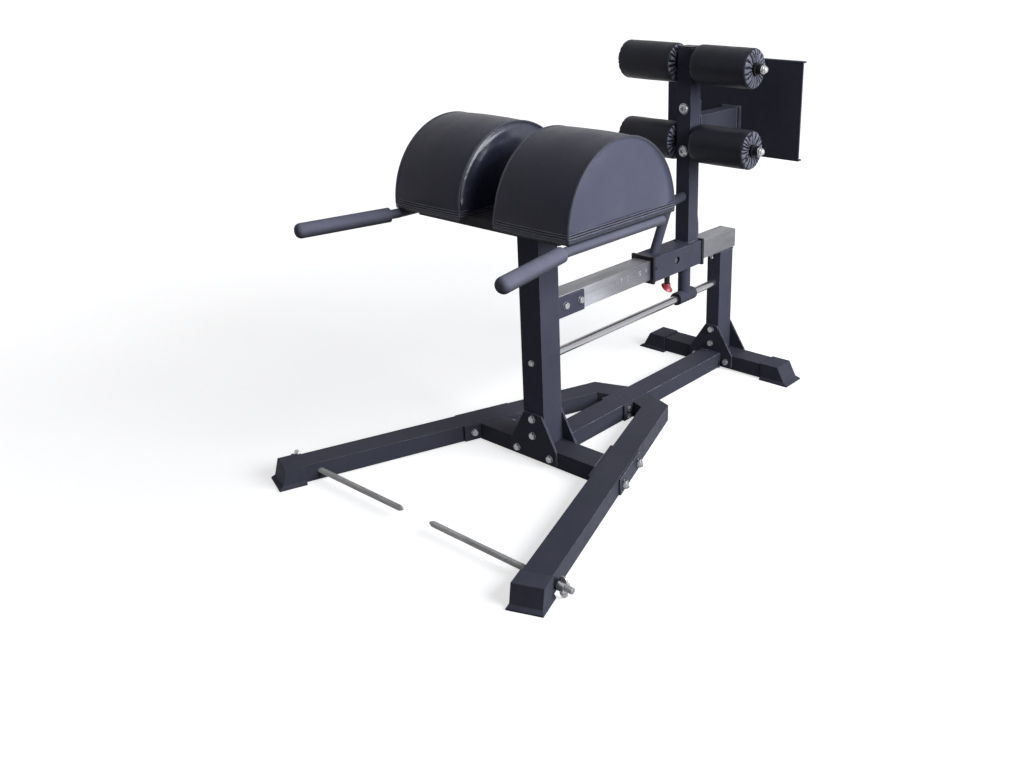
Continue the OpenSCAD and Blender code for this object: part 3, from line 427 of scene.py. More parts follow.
# seams and rolls fade out downwards between the hem and the height where they are full
FADE_Z, FADE_H = 745, 50
DRAWN_IN = 4.0
WELT_Y, WELT_INSET, WELT_R = 5.0, 4.9, 0.0032
STITCH_Y, STITCH_INSET, STITCH_R = 10.5, 3.05, 0.00042
STITCH, STITCH_GAP, FIRST_STITCH = 3.4, 1.9, 0.002
# (height over the pad's bottom, radius in metres, inset, look) of each sewn row round the foot; the rows in
# the lightest vinyl are painted highlight, and the rows of roller vinyl between them painted shade
HEMS = (
    (-9.0, 0.0020, 1.8, "roller_vinyl"), (-5.2, 0.0022, 0.9, "vinyl_welt"),
    (-1.4, 0.0020, 0.9, "vinyl_welt"), (2.6, 0.0019, 0.8, "painted_highlight_vinyl"),
    (5.6, 0.0017, 0.8, "roller_vinyl"), (8.6, 0.0016, 0.5, "painted_highlight_vinyl"),
    (11.6, 0.0015, 0.6, "roller_vinyl"), (14.6, 0.0012, 0.2, "painted_highlight_vinyl"),
)
HEM_SIDE_IN, HEM_OUT = 3.8, 0.3
# rows under this height run along the outer side and the front only
LOW_HEM = -8


def pad_outline(inset):
    """(x, z, share of the arc or None on the base) round the pad, drawn in by inset."""
    r = PAD_R - inset
    base_z = PAD_BOTTOM + min(1.0, inset * 0.2)
    pts = [(PAD_X + r * math.cos(math.pi * i / ARC_STEPS), PAD_Z + r * math.sin(math.pi * i / ARC_STEPS),
            i / ARC_STEPS) for i in range(ARC_STEPS + 1)]
    left, right = PAD_X - r, PAD_X + r
    foot = []
    for i in range(1, FOOT_STEPS + 1):
        a = math.pi / 2 * i / FOOT_STEPS
        foot.append((FOOT_R * (1 - math.cos(a)), PAD_Z - (PAD_Z - base_z) * math.sin(a)))
    pts += [(left + dx, z, None) for dx, z in foot]
    for i in range(1, BASE_STEPS):
        pts.append((left + FOOT_R + (right - left - 2 * FOOT_R) * i / BASE_STEPS, base_z, None))
    pts += [(right - dx, z, None) for dx, z in reversed(foot)]
    return pts


def pushed_out(x, z, k):
    """A point moved away from the arc's centre by k."""
    length = math.hypot(x - PAD_X, z - PAD_Z) or 1
    return x + (x - PAD_X) / length * k, z + (z - PAD_Z) / length * k


def drawn(y, z, far):
    """How far the inner side's seam is drawn in, fading to nothing at the hem."""
    return 0.0 if far else DRAWN_IN * smooth01((SEAM_END - y) / 12) * smooth01((z - FADE_Z) / FADE_H)


def stitches(path):
    """Short threads one after another along a path."""
    dist = [0.0]
    for a, b in zip(path, path[1:]):
        dist.append(dist[-1] + (b - a).length)
    threads, k, d = [], 0, FIRST_STITCH
    while d + STITCH / 1000 < dist[-1]:
        ends = []
        for q in (d, d + STITCH / 1000):
            while k < len(dist) - 2 and dist[k + 1] < q:
                k += 1
            t = (q - dist[k]) / max(1e-9, dist[k + 1] - dist[k])
            ends.append(path[k].lerp(path[k + 1], t))
        middle = ends[0].lerp(ends[1], 0.5)
        threads.append(tube([ends[0], middle, ends[1]], lambda i: STITCH_R if i == 1 else STITCH_R * 0.7, 5))
        d += (STITCH + STITCH_GAP) / 1000
    return threads


def hem_ring(z, inset):
    """Points round a pad's foot: inner side, rear, outer side and front, with bowed ends."""
    over = max(0.0, z - PAD_Z) ** 2
    side = math.sqrt(max(0.0, (PAD_R - CROWN) ** 2 - over)) - inset + HEM_OUT
    middle = math.sqrt(max(0.0, PAD_R ** 2 - over)) - inset + HEM_OUT
    y0, y1 = PAD_Y0 + HEM_SIDE_IN, PAD_Y0 + PAD_W - HEM_SIDE_IN
    shares = [j / HEM_STEPS for j in range(HEM_STEPS)]
    ends = [side + (middle - side) * (1 - (2 * t - 1) ** 2) for t in shares]
    ring = [(PAD_X - side + 2 * side * t, y0) for t in shares]
    ring += [(PAD_X + x, y0 + (y1 - y0) * t) for x, t in zip(ends, shares)]
    ring += [(PAD_X + side - 2 * side * t, y1) for t in shares]
    ring += [(PAD_X - x, y1 - (y1 - y0) * t) for x, t in zip(ends, shares)]
    return ring


def pad(side):
    s = 1 if side == "left" else -1
    off = Vector((3.1 + s, 7.7, 1.9 * s))

    def wave(x, y, z):
        return noise.noise(Vector((x, y, z)) + off)

    def pucker(u, depth, seed):
        """Small gathers that run in from a welt; depth is the distance from it."""
        return (0.75 * wave(u * 46, seed, 0.3) + 0.35 * wave(u * 110, seed, 4.3)) * math.exp(-depth / 16)

    def panel_ring(v, far):
        """The panel rolls over to its seam; the inner one is slacker, with folds along the seam."""
        ring = []
        for x, z, u in pad_outline(PANEL_INSET):
            dx, dz = x - PAD_X, z - PANEL_CENTRE_Z
            px, pz = PAD_X + dx * v, PANEL_CENTRE_Z + dz * v
            depth = (1 - v) * math.hypot(dx, dz)
            roll, width = BULGE + 4, 90
            if not far:
                roll, width = BULGE + 1 + 8 * smooth01((z - FADE_Z) / FADE_H), 52
            y = 0.3 + roll * max(0.0, 1 - depth / width) ** 2
            y += 0.9 * wave(px / 75, pz / 75, 6 * far + s) * (1 - 0.5 * v)
            if u is not None:
                y += pucker(u, (1 - v) * 130, 3 + far)
                fold = wave(u * 6.5, depth / 17, 5.5) * smooth01(depth / 7) * smooth01(1.4 - depth / 60)
                y += (0.5 if far else 3.2) * fold
            y = max(0.1, y)
            ring.append((px, PAD_W - y if far else y, pz))
        return ring

    def seam_ring(y, inset, far):
        ring = []
        for x, z, u in pad_outline(inset):
            k = pucker(u, abs(y - WELT_Y), 9 + far) * 0.7 if u is not None and y > 6 else 0.0
            px, pz = pushed_out(x, z, k)
            py = y + drawn(y, z, far)
            ring.append((px, PAD_W - py if far else py, pz))
        return ring

    def crown_ring(y):
        ring = []
        t = y / PAD_W
        for x, z, u in pad_outline(CROWN * (2 * t - 1) ** 2):
            k = 0.0
            if u is not None:
                k = 0.9 * wave(u * 5, y / 60, 2.2) * smooth01(u * 8) * smooth01((1 - u) * 8)
                k += 0.5 * pucker(u, min(y, PAD_W - y), 9 if y < PAD_W / 2 else 10)
            px, pz = pushed_out(x, z, k)
            ring.append((px, y, pz))
        return ring

    rings = [panel_ring(v, 0) for v in PANEL_SHARES]
    rings += [seam_ring(y, inset, 0) for y, inset in SEAM_ROWS]
    rings += [crown_ring(SEAM_END + (PAD_W - 2 * SEAM_END) * i / CROWN_STEPS) for i in range(1, CROWN_STEPS)]
    rings += [seam_ring(y, inset, 1) for y, inset in reversed(SEAM_ROWS)]
    rings += [panel_ring(v, 1) for v in reversed(PANEL_SHARES)]
    verts, faces = loft([[point(x, s * (PAD_Y0 + y), z) for x, y, z in ring] for ring in rings])
    n = len(rings[0])
    last = (len(rings) - 1) * n
    faces.append(tuple(range(n - 1, -1, -1)))
    faces.append(tuple(last + j for j in range(n)))
    o = make(side + "_pad_cover", (verts, faces), "black_vinyl", "frame")
    # the side panels take copies of the vinyl: the outer one lighter as painted light, the inner one darker
    # and glossier as painted shade
    o.data.materials.append(MATS["painted_light_side_vinyl"])
    o.data.materials.append(MATS["painted_shade_inner_vinyl"])
    panel_rows = len(PANEL_SHARES) + 3
    bands = len(rings) - 1
    for k, p in enumerate(o.data.polygons):
        row = k // n
        if row < panel_rows or k == bands * n:
            p.material_index = 2
        elif bands - panel_rows <= row:
            p.material_index = 1
    clean(o)
    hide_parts(side + "_pad")

    # welts along the crown's edges and stitches beside them
    threads = []
    for far in (0, 1):
        def along(x, y, z):
            y += drawn(y, z, far)
            return point(x, s * (PAD_Y0 + (PAD_W - y if far else y)), z)

        arc = [(x, z) for x, z, u in pad_outline(WELT_INSET) if u is not None]
        feet = [along(arc[i][0], WELT_Y, PAD_BOTTOM + 1) for i in (0, -1)]
        path = [feet[0]] + [along(x, WELT_Y, z) for x, z in arc] + [feet[1]]
        make("%s_pad_welt_%d" % (side, far), tube(path, WELT_R), "black_vinyl", "frame", "vinyl_welt")
        threads += stitches([along(x, STITCH_Y, z) for x, z, u in pad_outline(STITCH_INSET) if u is not None])

    # below the foam the cover wraps its own base, clear of the board on the inner side
    for k, (height, r, inset, look) in enumerate(HEMS):
        z = PAD_BOTTOM + height
        ring = hem_ring(z, inset)
        if height < 0:
            ring = ring[(2 if height < LOW_HEM else 1) * HEM_STEPS:] + ring[:1]
        path = [point(x, s * y, z + 0.5 * noise.noise(Vector((x / 21, y / 21, k * 1.3)))) for x, y in ring]
        hem = tube(path, r, 8, closed=height > 0)
        make("%s_pad_hem_%d" % (side, k), hem, "black_vinyl", "frame", look)
    make(side + "_pad_stitches", merged(threads), "black_vinyl", "frame", "stitching_thread")


for side in ("left", "right"):
    pad(side)

# Rollers: vinyl covers gathered in pleats round the hubs, in millimetres
ROLLER_X, ROLLER_R, ROLLER_Y0, ROLLER_L = 728, 59, 34, 200
ROLLER_Z = {"upper": 1036, "lower": 800}
ROLLER_SEEDS = {"upper_left": 3, "upper_right": 8, "lower_left": 13, "lower_right": 21}
FOLDS, FOLD_STEPS, BARREL_STEPS = 22, 14, 14
BARREL_IN, BARREL_SLACK = 14, 0.4
# (radius, distance from the end, depth of the folds as a share) of the rings over an end
END_ROWS = ((15.5, 3.4, 0.25), (18, 3.0, 0.5), (21, 2.6, 0.75), (25, 2.2, 1.0), (30, 1.6, 1.05),
            (35, 1.1, 1.0), (40, 0.7, 0.92), (45, 0.5, 0.8), (49.5, 1.0, 0.62), (53, 2.3, 0.42),
            (55.8, 4.4, 0.26), (57.6, 7.4, 0.14), (58.4, 11, 0.06))
FOLD_DEPTH, RIDGE_RISE = 8.0, 2.0


def roller(level, side):
    name = level + "_" + side
    seed = ROLLER_SEEDS[name]
    s = 1 if side == "left" else -1
    n = FOLDS * FOLD_STEPS

    def end_rings(far):
        """Rings of (radius, distance from the end, angle) over folds of uneven width and height."""
        rnd = random.Random(seed + 50 * far)
        cuts = [0.0]
        for _ in range(FOLDS):
            cuts.append(cuts[-1] + rnd.uniform(0.5, 1.5))
        cuts = [c / cuts[-1] for c in cuts]
        heights = [rnd.uniform(0.55, 1.2) for _ in range(FOLDS)]
        skews = [rnd.uniform(-0.5, 0.5) for _ in range(FOLDS)]
        rows = []
        for r, y, depth in END_ROWS:
            row = []
            for k in range(FOLDS):
                crest = 0.5 + 0.18 * skews[k]
                width = cuts[k + 1] - cuts[k]
                shift = 0.35 * noise.noise(Vector((r / 14, k * 1.7, seed + far * 9.0))) / FOLDS
                shift *= smooth01((50 - r) / 20)
                for j in range(FOLD_STEPS):
                    w = j / FOLD_STEPS
                    skewed = 0.5 * w / crest if w < crest else 0.5 + 0.5 * (w - crest) / (1 - crest)
                    ridge = abs(math.sin(math.pi * skewed)) ** 0.55
                    a = 2 * math.pi * (cuts[k] + width * w + shift)
                    inward = (FOLD_DEPTH * (1 - ridge) - RIDGE_RISE * ridge) * depth * heights[k]
                    u, v = math.cos(a) * r, math.sin(a) * r
                    slack = 0.7 * depth * noise.noise(Vector((u / 6, v / 6, seed)))
                    rim = 0.9 * (1 - ridge) * depth if r > 50 else 0
                    row.append((r - rim, max(-0.6, y + 0.8 + inward + slack), a))
            rows.append(row)
        return rows

    def placed(row, far):
        ring = []
        for r, y, a in row:
            y = ROLLER_Y0 + (ROLLER_L - y if far else y)
            ring.append(point(ROLLER_X + r * math.cos(a), s * y, ROLLER_Z[level] + r * math.sin(a)))
        return ring

    rings = [placed(row, 0) for row in end_rings(0)]
    for i in range(1, BARREL_STEPS):
        y = BARREL_IN + (ROLLER_L - 2 * BARREL_IN) * i / BARREL_STEPS
        row = []
        for j in range(n):
            a = 2 * math.pi * j / n
            slack = 0.55 * noise.noise(Vector((math.cos(a) * 1.6, math.sin(a) * 1.6, y / 38 + seed)))
            row.append((ROLLER_R - BARREL_SLACK + slack, y, a))
        rings.append(placed(row, 0))
    rings += [placed(row, 1) for row in reversed(end_rings(1))]
    rings.append(rings[0])
    o = make(name + "_cover", loft(rings), "black_vinyl", name + "_roller", "roller_vinyl")
    # painted highlight: the ridges of the gathered ends take a lighter copy of the vinyl
    o.data.materials.append(MATS["painted_highlight_vinyl"])
    end = len(END_ROWS)
    for k, p in enumerate(o.data.polygons):
        row, j = divmod(k, n)
        w = (j % FOLD_STEPS + 0.5) / FOLD_STEPS
        patch = noise.noise(Vector((row * 0.45, (j // FOLD_STEPS) * 2.3, seed * 1.1)))
        ridge = 0.22 + 0.2 * patch < w < 0.80 + 0.2 * patch and patch > -0.42
        if ridge and (1 <= row < end - 3 or len(rings) - end + 1 <= row < len(rings) - 3):
            p.material_index = 1
    clean(o, 1e-6)
    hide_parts(name + "_foam")


for level in ("upper", "lower"):
    for side in ("left", "right"):
        roller(level, side)

# Fasteners, in metres: chamfered heads, washers, threads and lock nuts over the plain CAD ones
CLOSE = 1e-5
THREAD_PITCH, THREAD_ROOT = 0.0016, 0.90
WASHER_T = 0.0016
# fasteners point along the frame's axes or square to one of the splayed legs
LEG_SPLAY = math.radians(20.15)
WAYS = (Vector((1, 0, 0)), Vector((0, 1, 0)), Vector((0, 0, 1)),
        Vector((math.sin(LEG_SPLAY), math.cos(LEG_SPLAY), 0)),
        Vector((-math.sin(LEG_SPLAY), math.cos(LEG_SPLAY), 0)))
HEAD_STEPS, WASHER_STEPS, SHANK_STEPS, PEG_STEPS, DOME_STEPS = 48, 40, 24, 20, 8
# points closer than this are one, and edges steeper than these degrees are creased
DOUBLES, CREASE, STEEP_CREASE = 1e-7, 38, 50


def loose_parts(node):
    """The points of each separate solid of a node."""
    me = frame["nodes"][node].data
    parent = list(range(len(me.vertices)))

    def root(i):
        while parent[i] != i:
            parent[i] = parent[parent[i]]
            i = parent[i]
        return i

    first_at = {}
    for v in me.vertices:
        place = tuple(round(x, 6) for x in v.co)
        if place in first_at:
            parent[root(v.index)] = root(first_at[place])
        else:
            first_at[place] = v.index
    for e in me.edges:
        parent[root(e.vertices[0])] = root(e.vertices[1])
    groups = {}
    for v in me.vertices:
        groups.setdefault(root(v.index), []).append(v.co.copy())
    return list(groups.values())


def centre_of(pts):
    return sum(pts, Vector()) / len(pts)


def fasteners(node):
    """(way, points) of each solid of a node; the way is the one that it is slimmest about."""
    for pts in loose_parts(node):
        c = centre_of(pts)
        way, least = None, None
        for d in WAYS:
            reach = max(((p - c) - d * (p - c).dot(d)).length for p in pts)
            if least is None or reach < least - CLOSE:
                way, least = d, reach
        yield way, pts


def measured(pts, d):
    """A point on the axis, both ends along it, and (place, radius) of every point."""
    ts = [p.dot(d) for p in pts]
    t0, t1 = min(ts), max(ts)
    end = [p for p, t in zip(pts, ts) if t > t1 - CLOSE]
    c = Vector([(min(p[i] for p in end) + max(p[i] for p in end)) / 2 for i in range(3)])
    foot = c - d * c.dot(d)
    return foot, t0, t1, [(t, (p - foot - d * t).length) for p, t in zip(pts, ts)]


def head_first(pts, d):
    """A bolt measured from its head to its tip: axis, ends, radius and seat of the head, (place, radius)."""
    foot, t0, t1, radii = measured(pts, d)
    big = max(r for t, r in radii)
    head = [t for t, r in radii if r > big - 1e-4]
    if sum(head) / len(head) >= (t0 + t1) / 2:
        d, t0, t1 = -d, -t1, -t0
        head = [-t for t in head]
        radii = [(-t, r) for t, r in radii]
    return foot, d, t0, t1, big, max(head), radii


def hexagon(flats, cap):
    """Radius of a hexagon across its flats, cut by a circle of radius cap."""
    def radius(a):
        return min(flats / 2 / math.cos((a % (math.pi / 3)) - math.pi / 6), cap)
    return radius


def threaded(rows, start, end, step, r, root):
    """Add the crests and roots of a thread to a profile."""
    t, k = start, 0
    while t < end:
        t += step
        k += 1
        rows.append((t, r * (root if k % 2 else 1.0)))


def bolt(d, pts):
    """A hexagon head with a washer, on a shank threaded near its tip."""
    foot, d, t0, t1, big, seat, radii = head_first(pts, d)
    shank = sorted(r for t, r in radii if t > seat + 1e-4)
    r = shank[len(shank) // 2]
    flats = big * 2 * math.cos(math.pi / 6)
    h = seat - t0
    under = seat - WASHER_T
    head = [(t0 + 0.0002, flats * 0.30), (t0, flats * 0.36), (t0, flats * 0.44),
            (t0 + h * 0.06, hexagon(flats, flats * 0.485)), (t0 + h * 0.22, hexagon(flats, flats * 0.56)),
            (under - 0.0002, hexagon(flats, flats * 0.575)), (under, hexagon(flats, flats * 0.56)),
            (under, flats * 0.5), (seat - 0.0001, flats * 0.5)]
    w = flats * 0.58
    washer = [(under, w - 0.0006), (under + 0.0003, w), (seat - 0.0003, w), (seat - 0.0001, w - 0.0004)]
    thread_start = max(seat, t1 - 0.026)
    rows = [(seat, r), (thread_start, r)]
    threaded(rows, thread_start, t1 - 0.0016, THREAD_PITCH / 2, r, THREAD_ROOT)
    rows += [(t1 - 0.0008, r * 0.93), (t1, r * 0.8)]
    return [stack(foot, d, head, HEAD_STEPS), stack(foot, d, washer, WASHER_STEPS),
            stack(foot, d, rows, SHANK_STEPS)]


def button_head(d, pts):
    """A low domed head with a hexagon socket, on a plain shank."""
    foot, d, t0, t1, big, seat, radii = head_first(pts, d)
    small = min(r for t, r in radii if abs(t - t1) < CLOSE and r > 1e-4)
    h = seat - t0
    rows = [(t0 + h * 0.62, hexagon(big * 0.62, big * 0.35)), (t0 + 0.0002, hexagon(big * 0.66, big * 0.37)),
            (t0, big * 0.44)]
    for i in range(1, DOME_STEPS + 1):
        a = math.pi / 2 * i / DOME_STEPS
        rows.append((t0 + (h - 0.0022) * (1 - math.cos(a)), big * (0.44 + 0.47 * math.sin(a))))
    rows += [(seat - 0.0022, big * 0.90), (seat - 0.0020, big * 0.99), (seat - 0.0002, big),
             (seat, big * 0.97), (seat, small), (t1 - 0.001, small), (t1, small * 0.85)]
    return [stack(foot, d, rows, HEAD_STEPS)]


def nut(d, pts, out):
    """A lock nut on its washer; out is the way that it faces, away from its seat."""
    if d.dot(out) < 0:
        d = -d
    foot, t0, t1, radii = measured(pts, d)
    bore = min(r for t, r in radii)
    flats = max(r for t, r in radii) * 2 * math.cos(math.pi / 6)
    h = t1 - t0
    w = flats * 0.64
    top = t0 + WASHER_T
    washer = [(t0 + 0.0001, w), (top - 0.0002, w), (top, w - 0.0005), (top, bore)]
    rows = [(top, bore), (top, hexagon(flats, flats * 0.52)), (top + 0.0008, hexagon(flats, flats * 0.575)),
            (t1 - h * 0.34, hexagon(flats, flats * 0.575)), (t1 - h * 0.24, hexagon(flats, flats * 0.5)),
            (t1 - h * 0.22, flats * 0.455), (t1 - h * 0.06, flats * 0.45), (t1, flats * 0.41), (t1, bore),
            (t1 - 0.002, bore)]
    return [stack(foot, d, washer, WASHER_STEPS), stack(foot, d, rows, HEAD_STEPS)]


def cap_nut(d, pts):
    """A domed nut on its washer, facing away from the mast."""
    if d.y * centre_of(pts).y < 0:
        d = -d
    foot, t0, t1, radii = measured(pts, d)
    big = max(r for t, r in radii)
    flats, h = big * 1.72, t1 - t0
    w = big * 0.98
    washer = [(t0 - 0.0003, w - 0.0003), (t0 + 0.0002, w), (t0 + 0.0016, w), (t0 + 0.002, w - 0.0005)]
    rows = [(t0 + 0.002, hexagon(flats, flats * 0.53)), (t0 + 0.0028, hexagon(flats, flats * 0.575)),
            (t0 + h * 0.44, hexagon(flats, flats * 0.575)), (t0 + h * 0.52, hexagon(flats, flats * 0.5)),
            (t0 + h * 0.54, flats * 0.45)]
    for i in range(1, DOME_STEPS):
        a = math.pi / 2 * i / DOME_STEPS
        rows.append((t0 + h * 0.56 + (h * 0.44 - 0.0002) * math.sin(a), flats * 0.45 * math.cos(a)))
    return [stack(foot, d, washer, HEAD_STEPS), stack(foot, d, rows, HEAD_STEPS)]


def detail(node, body, build, look=None):
    """Replace a node of fasteners by what build makes of each one."""
    meshes = []
    for d, pts in fasteners(node):
        meshes += build(d, pts)
    o = make(node + "_detail", merged(meshes), "zinc_fastener", body, look)
    clean(o, DOUBLES, CREASE)
    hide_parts(node)


def frame_nut_way(c):
    """The way that a frame nut faces: down at the saddle, else sideways, square to its leg, or rearwards."""
    x, y, z = (c.x + ORIGIN_X) * 1000, c.y * 1000, c.z * 1000
    if 380 < z < 460 and x > 850:
        return Vector((0, 0, -1))
    if z > 400 or (abs(y) <= 150 and 250 < x < 450):
        return Vector((0, 1, 0))
    if abs(y) > 150:
        return Vector((math.sin(LEG_SPLAY), math.copysign(math.cos(LEG_SPLAY), y), 0))
    return Vector((1, 0, 0))


detail("mast_bolts", "carriage", button_head)
detail("frame_bolts", "frame", bolt)
detail("board_bolts", "frame", bolt)
detail("frame_nuts", "frame", lambda d, pts: nut(d, pts, frame_nut_way(centre_of(pts))))
detail("mast_nuts", "carriage", lambda d, pts: nut(d, pts, Vector((1, 0, 0))))
detail("axle_nuts", "carriage", cap_nut, "bright_zinc")

# Band pegs: threaded bars with short tapered inner tips, in metres
PEG_TIP, PEG_TURN = 0.012, 0.0011


def peg(side):
    """Threaded bar from the blunt inner tip to the end outside the wing nut."""
    lo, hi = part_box(side + "_peg")
    s = 1 if side == "left" else -1
    r = (hi.z - lo.z) / 2
    a, b = (lo.y, hi.y) if s > 0 else (-hi.y, -lo.y)
    rows = [(a, 0.0016), (a + 0.0010, 0.0028), (a + PEG_TIP, r * 0.96)]
    threaded(rows, a + PEG_TIP, b - 0.003, PEG_TURN, r, THREAD_ROOT)
    rows += [(b - 0.0014, r * 0.92), (b - 0.0004, r * 0.74), (b, r * 0.4)]
    bar = stack(Vector(((lo.x + hi.x) / 2, 0, (lo.z + hi.z) / 2)), Vector((0, s, 0)), rows, PEG_STEPS)
    o = make(side + "_peg_thread", bar, "bare_steel_peg", "frame")
    clean(o, DOUBLES, STEEP_CREASE)
    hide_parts(side + "_peg")


peg("left")
peg("right")

# Pull knob: (share of its height, radius in metres) from the neck over the lip to the underside
KNOB_CLEARANCE, KNOB_NECK, KNOB_STEPS = 0.0007, 0.0115, 40
KNOB_BODY = ((0.66, KNOB_NECK), (0.52, 0.0117), (0.42, 0.0128), (0.36, 0.0148), (0.33, 0.0170),
             (0.28, 0.0178), (0.22, 0.0172), (0.14, 0.0140), (0.08, 0.0090), (0.05, 0.0040))
BORE_FLOOR, UNDERSIDE = 0.36, 0.045
LIP_START, LIP_RISE, LIP_SLOPE = 0.0117, 0.004, 0.62


def pull_knob():
    """Pull knob with a bore for the barrel and a saucer lip that hangs down on the -Y side."""
    lo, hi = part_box("pin_knob")
    c = (lo + hi) / 2
    h = hi.z - lo.z
    barrel_lo, barrel_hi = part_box("pin_barrel")
    bore = (barrel_hi.x - barrel_lo.x) / 2 + KNOB_CLEARANCE
    rows = [(h * BORE_FLOOR, bore), (h, bore), (h, KNOB_NECK - 0.0007), (h - 0.0007, KNOB_NECK)]
    rows += [(h * share, r) for share, r in KNOB_BODY]
    rings = []
    for z, r in rows:
        ring = []
        for j in range(KNOB_STEPS):
            a = 2 * math.pi * j / KNOB_STEPS
            y = r * math.sin(a)
            tilt = LIP_SLOPE * y * smooth01((r - LIP_START) / LIP_RISE)
            ring.append(Vector((c.x + r * math.cos(a), c.y + y, lo.z + z + tilt)))
        rings.append(ring)
    caps = [Vector((c.x, c.y, lo.z + h * share)) for share in (BORE_FLOOR, UNDERSIDE)]
    o = make("pull_knob", loft(rings, *caps), "red_knob", "plunger")
    clean(o, DOUBLES, STEEP_CREASE)
    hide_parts("pin_knob")


pull_knob()


# Weld beads
BEAD_R, BEAD_STEP, RIPPLE_STEPS = 0.0026, 0.0016, 3.4
# (name, axis across the outline, place along it, centre, half sizes or radius, body), in model millimetres
WELDS = (
    ("mast_foot", "z", 485.6, (728, 0), (25.4, 25.4), "carriage"),
    ("post_top", "z", 408.4, (720, 0), 20.3, "carriage"),
    ("spine_front", "x", 81.6, (0, 30), (38, 25.4), "frame"),
    ("spine_rear", "x", 885.4, (0, 30), (38, 25.4), "frame"),
    ("upright_top", "z", 704.4, (37.5, 0), (38, 38), "frame"),
    ("rear_upright_top", "z", 410.4, (929.5, 0), (38, 25.4), "frame"),
    ("strut_front", "x", 759.6, (0, 841.5), (25.4, 38), "carriage"),
    ("strut_rear", "x", 961.4, (0, 841.5), (25.4, 38), "carriage"),
    ("foot_plate", "x", 969.4, (0, 841.5), (34.6, 40), "carriage"),
)
CIRCLE_STEPS = 40


def weld_path(axis, place, centre, size):
    """Corners of a rectangle of half sizes, or points of a circle, across an axis."""
    if isinstance(size, tuple):
        offsets = [(i * size[0], j * size[1]) for i, j in ((-1, -1), (1, -1), (1, 1), (-1, 1))]
    else:
        angles = [2 * math.pi * i / CIRCLE_STEPS for i in range(CIRCLE_STEPS)]
        offsets = [(size * math.cos(a), size * math.sin(a)) for a in angles]
    spots = [(centre[0] + u, centre[1] + v) for u, v in offsets]
    return [point(u, v, place) if axis == "z" else point(place, u, v) for u, v in spots]


def bead_radius(i):
    """Ripples of a fillet weld, a little uneven."""
    ripple = 0.16 * math.sin(i * 2 * math.pi / RIPPLE_STEPS)
    return BEAD_R * (1 + ripple + 0.12 * noise.noise(Vector((i * 0.21, BEAD_R * 900, 0))))


for name, axis, place, centre, size, body in WELDS:
    corners = weld_path(axis, place, centre, size)
    pts = []
    for a, b in zip(corners, corners[1:] + corners[:1]):
        steps = max(1, int((b - a).length / BEAD_STEP))
        pts += [a.lerp(b, i / steps) for i in range(steps)]
    make("weld_" + name, tube(pts, bead_radius, 7, closed=True), "charcoal_powder_coat", body)

# Plain position numbers on the rail's near side, one at each locking hole, in millimetres
STROKES = {
    "0": [[(0, 0), (1, 0), (1, 2), (0, 2), (0, 0)]],
    "1": [[(0.15, 1.6), (0.6, 2), (0.6, 0)]],
    "2": [[(0, 2), (1, 2), (1, 1.1), (0, 0), (1, 0)]],
    "3": [[(0, 2), (1, 2), (0.5, 1.1), (1, 0.8), (1, 0), (0, 0)]],
    "4": [[(0.8, 0), (0.8, 2), (0, 0.7), (1, 0.7)]],
    "5": [[(1, 2), (0, 2), (0, 1.1), (1, 1), (1, 0), (0, 0)]],
    "6": [[(1, 2), (0.2, 1.3), (0, 0), (1, 0), (1, 1), (0, 1)]],
    "7": [[(0, 2), (1, 2), (0.4, 0)]],
    "8": [[(0, 1), (0, 0), (1, 0), (1, 2), (0, 2), (0, 1), (1, 1)]],
    "9": [[(1, 1), (0, 1), (0, 2), (1, 2), (0.8, 0)]],
}
HOLES, FIRST_HOLE, HOLE_PITCH = 14, 326, 30
RAIL_SIDE_Y, DIGIT_Z = -30.0, 445
DIGIT_W, DIGIT_GAP, DIGIT_HALF_H, STROKE_R = 5.4, 2, 6.2, 0.0008
DIGIT_PITCH = 7.5


def rail_scale():
    meshes = []
    for i in range(HOLES):
        text = str(i + 1)
        start = FIRST_HOLE + HOLE_PITCH * i - (len(text) * DIGIT_PITCH - DIGIT_GAP) / 2
        for k, digit in enumerate(text):
            x = start + k * DIGIT_PITCH
            for line in STROKES[digit]:
                path = [point(x + DIGIT_W * u, RAIL_SIDE_Y, DIGIT_Z + DIGIT_HALF_H * w) for u, w in line]
                meshes.append(tube(path, STROKE_R, 6))
    make("rail_scale", merged(meshes), "galvanised_rail", "frame", "scale_paint")


rail_scale()

# Set screw in the near side of the sleeve; the rows are (distance out of the side, radius)
SCREW_X, SCREW_Z, SCREW_STEPS = 518, 450, 36
SCREW_ROWS = ((-0.0004, 0.0046), (0.0006, 0.0046), (0.0010, 0.0040), (0.0010, hexagon(0.0046, 0.0027)),
              (-0.0003, hexagon(0.0044, 0.0026)))
screw_at = point(SCREW_X, 0, SCREW_Z)
screw_at.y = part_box("sleeve")[0].y
screw = stack(screw_at, Vector((0, -1, 0)), SCREW_ROWS, SCREW_STEPS)
clean(make("sleeve_set_screw", screw, "black_plastic", "carriage"), DOUBLES, CREASE)


# Floor, world and lights, in metres and watts
FLOOR_R, FLOOR_STEPS, FLOOR_Z = 60, 96, -0.0005
# the floor's glow grows from its least to 1 between two distances from the object
GLOW_FROM, GLOW_TO, GLOW_LEAST = 1.0, 4.0, 0.66


def seen_directly(nt):
    """1 for rays from the camera, off gloss and through glass, else 0."""
    rays = add(nt, "LightPath", {})
    seen = rays.outputs["Is Camera Ray"]
    for kind in ("Is Glossy Ray", "Is Transmission Ray"):
        seen = add(nt, "Math", {0: seen, 1: rays.outputs[kind]}, operation="MAXIMUM").outputs[0]
    return seen


